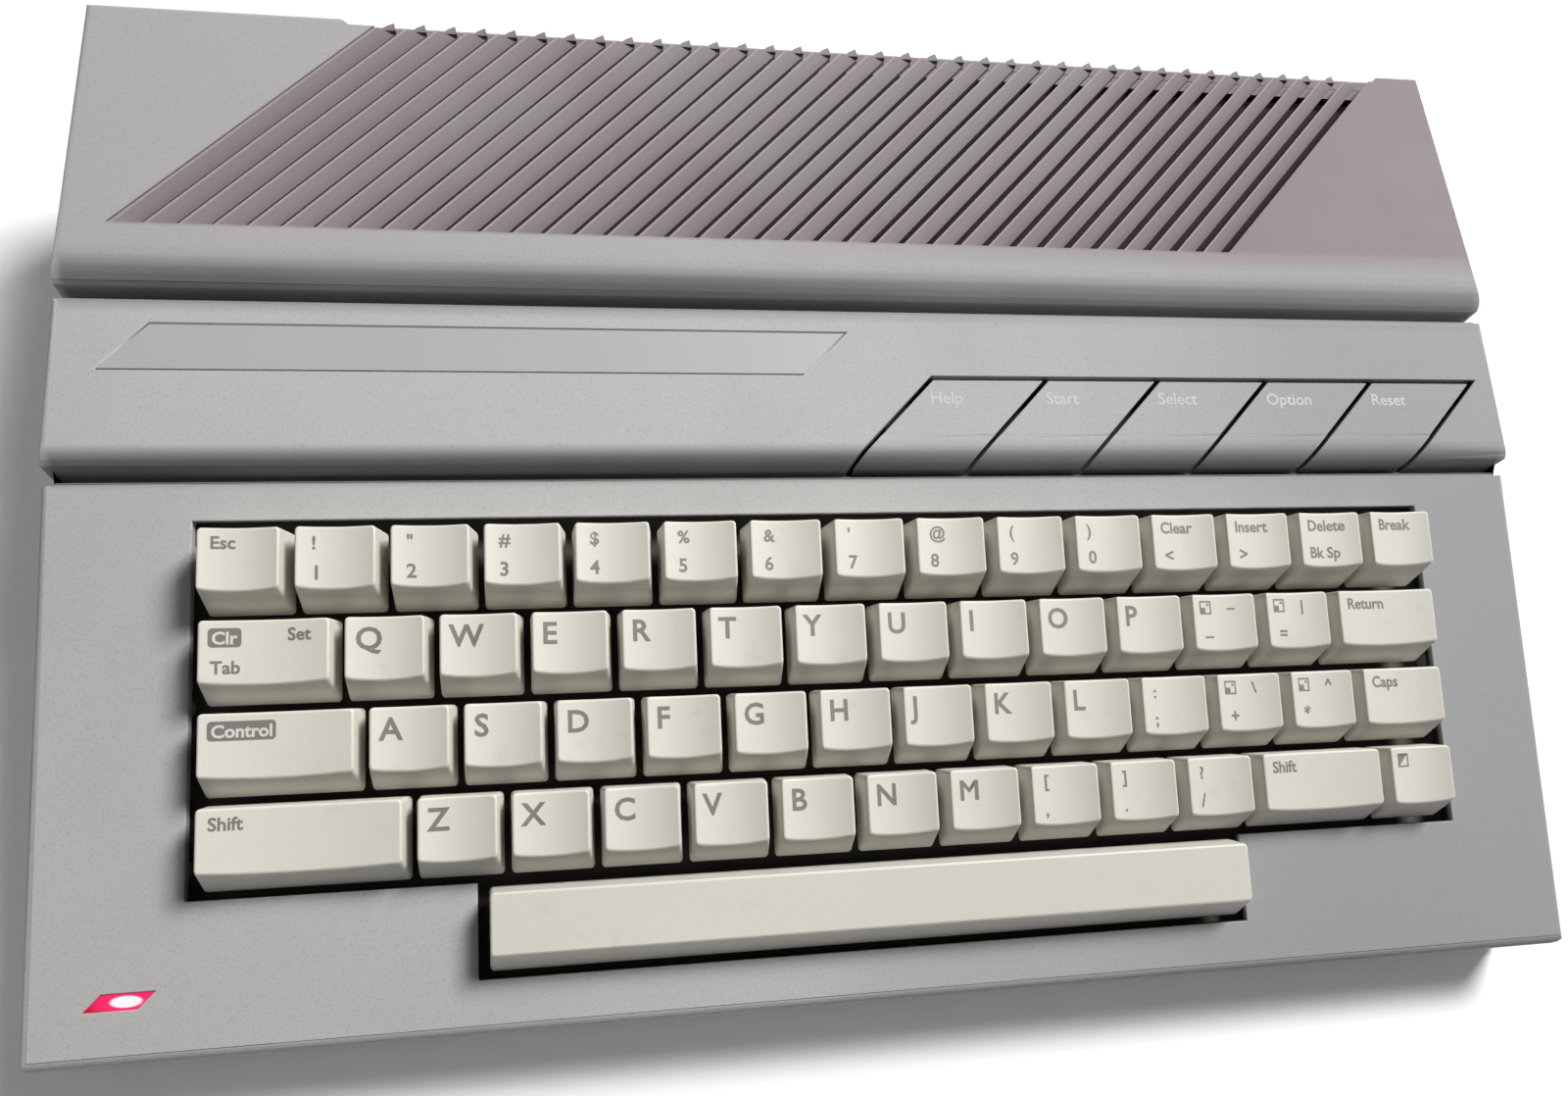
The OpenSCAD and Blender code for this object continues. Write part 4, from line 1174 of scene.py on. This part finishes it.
def white_floor():
    """Pale floor that takes the shadow and shows white to the camera, in gloss and through glass."""
    material = bpy.data.materials.new("pale_floor")
    tree = bare_tree(material)
    ray = add_node(tree, "ShaderNodeLightPath", {}).outputs
    gloss = {0: ray["Is Camera Ray"], 1: ray["Is Glossy Ray"]}
    seen = add_node(tree, "ShaderNodeMath", gloss, operation="MAXIMUM").outputs[0]
    seen = add_node(tree, "ShaderNodeMath", {0: seen, 1: ray["Is Transmission Ray"]}, operation="MAXIMUM").outputs[0]
    place = add_node(tree, "ShaderNodeTexCoord", {}).outputs["Object"]
    far = add_node(tree, "ShaderNodeVectorMath", {0: place}, operation="LENGTH").outputs["Value"]
    reach = {"Value": far, "From Min": GLOW_START, "From Max": GLOW_FULL, "To Min": NEAR_GLOW, "To Max": 1.0}
    rise = add_node(tree, "ShaderNodeMapRange", reach, interpolation_type="SMOOTHSTEP").outputs[0]
    glow = add_node(tree, "ShaderNodeEmission", {"Strength": rise}).outputs[0]
    nothing = add_node(tree, "ShaderNodeEmission", {"Strength": 0.0}).outputs[0]
    shown = add_node(tree, "ShaderNodeMixShader", {0: seen, 1: nothing, 2: glow}).outputs[0]
    plain = add_node(tree, "ShaderNodeBsdfDiffuse", {"Color": (0.85, 0.85, 0.85, 1)}).outputs[0]
    both = add_node(tree, "ShaderNodeAddShader", {0: plain, 1: shown}).outputs[0]
    add_node(tree, "ShaderNodeOutputMaterial", {"Surface": both})
    return material


def studio_world():
    """Soft even light, seen as plain white."""
    world = bpy.data.worlds.new("studio")
    bpy.context.scene.world = world
    tree = bare_tree(world)
    seen = add_node(tree, "ShaderNodeLightPath", {}).outputs["Is Camera Ray"]
    light = add_node(tree, "ShaderNodeBackground", {"Color": (0.96, 0.98, 1.0, 1), "Strength": 0.09}).outputs[0]
    white = add_node(tree, "ShaderNodeBackground", {"Color": (1, 1, 1, 1), "Strength": 1.0}).outputs[0]
    shown = add_node(tree, "ShaderNodeMixShader", {0: seen, 1: light, 2: white}).outputs[0]
    add_node(tree, "ShaderNodeOutputWorld", {"Surface": shown})


class COMPUTER_OT_stage(bpy.types.Operator):
    """Sets the camera, the lamps and the floor"""

    bl_idname = "computer.stage"
    bl_label = "Stage"

    def execute(self, context):
        setup = context.scene.stage_setup
        camera = bpy.data.cameras.new("camera")
        camera.sensor_width = 36.0
        camera.lens = setup.focal
        camera.shift_x, camera.shift_y = CAMERA_SHIFT
        camera.clip_start = 0.01
        holder = bpy.data.objects.new("camera", camera)
        context.scene.collection.objects.link(holder)
        holder.location = CAMERA_PLACE
        holder.rotation_euler = tuple(math.radians(a) for a in CAMERA_TURN)
        context.scene.camera = holder
        bm = bmesh.new()
        bmesh.ops.create_grid(bm, x_segments=1, y_segments=1, size=setup.floor_size / 2)
        mesh = bpy.data.meshes.new("floor")
        bm.to_mesh(mesh)
        bm.free()
        mesh.materials.append(white_floor())
        floor = bpy.data.objects.new("floor", mesh)
        context.scene.collection.objects.link(floor)
        floor.location = (0, 0, -0.0001)
        floor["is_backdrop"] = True
        for lamp in LAMPS:
            softbox(*lamp)
        studio_world()
        context.scene.view_settings.view_transform = "Standard"
        return {"FINISHED"}


OPERATORS = (COMPUTER_OT_stage, COMPUTER_OT_case, COMPUTER_OT_console, COMPUTER_OT_keys, COMPUTER_OT_insides,
             COMPUTER_OT_contacts, COMPUTER_OT_domes)


class COMPUTER_PT_panel(bpy.types.Panel):
    """Lists the computer's builders"""

    bl_idname = "COMPUTER_PT_panel"
    bl_label = "Home computer"
    bl_space_type = "VIEW_3D"
    bl_region_type = "UI"
    bl_category = "Computer"

    def draw(self, context):
        for operator in OPERATORS:
            self.layout.operator(operator.bl_idname)
        for group in ("case_finish", "key_finish", "stage_setup"):
            values = getattr(context.scene, group)
            for name in values.__annotations__:
                self.layout.prop(values, name)


CLASSES = (CaseFinish, KeyFinish, StageSetup, *OPERATORS, COMPUTER_PT_panel)


def register():
    for cls in CLASSES:
        bpy.utils.register_class(cls)
    bpy.types.Scene.case_finish = bpy.props.PointerProperty(type=CaseFinish)
    bpy.types.Scene.key_finish = bpy.props.PointerProperty(type=KeyFinish)
    bpy.types.Scene.stage_setup = bpy.props.PointerProperty(type=StageSetup)


def unregister():
    del bpy.types.Scene.stage_setup
    del bpy.types.Scene.key_finish
    del bpy.types.Scene.case_finish
    for cls in reversed(CLASSES):
        bpy.utils.unregister_class(cls)


def main():
    register()
    bpy.ops.computer.stage()
    bpy.ops.computer.case()
    bpy.ops.computer.console()
    bpy.ops.computer.keys()
    bpy.ops.computer.insides()
    bpy.ops.computer.contacts()
    bpy.ops.computer.domes()
    corners = [[list(corner) for corner in box] for box in (CAD_BOX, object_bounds())]


if __name__ == "__main__":
    main()
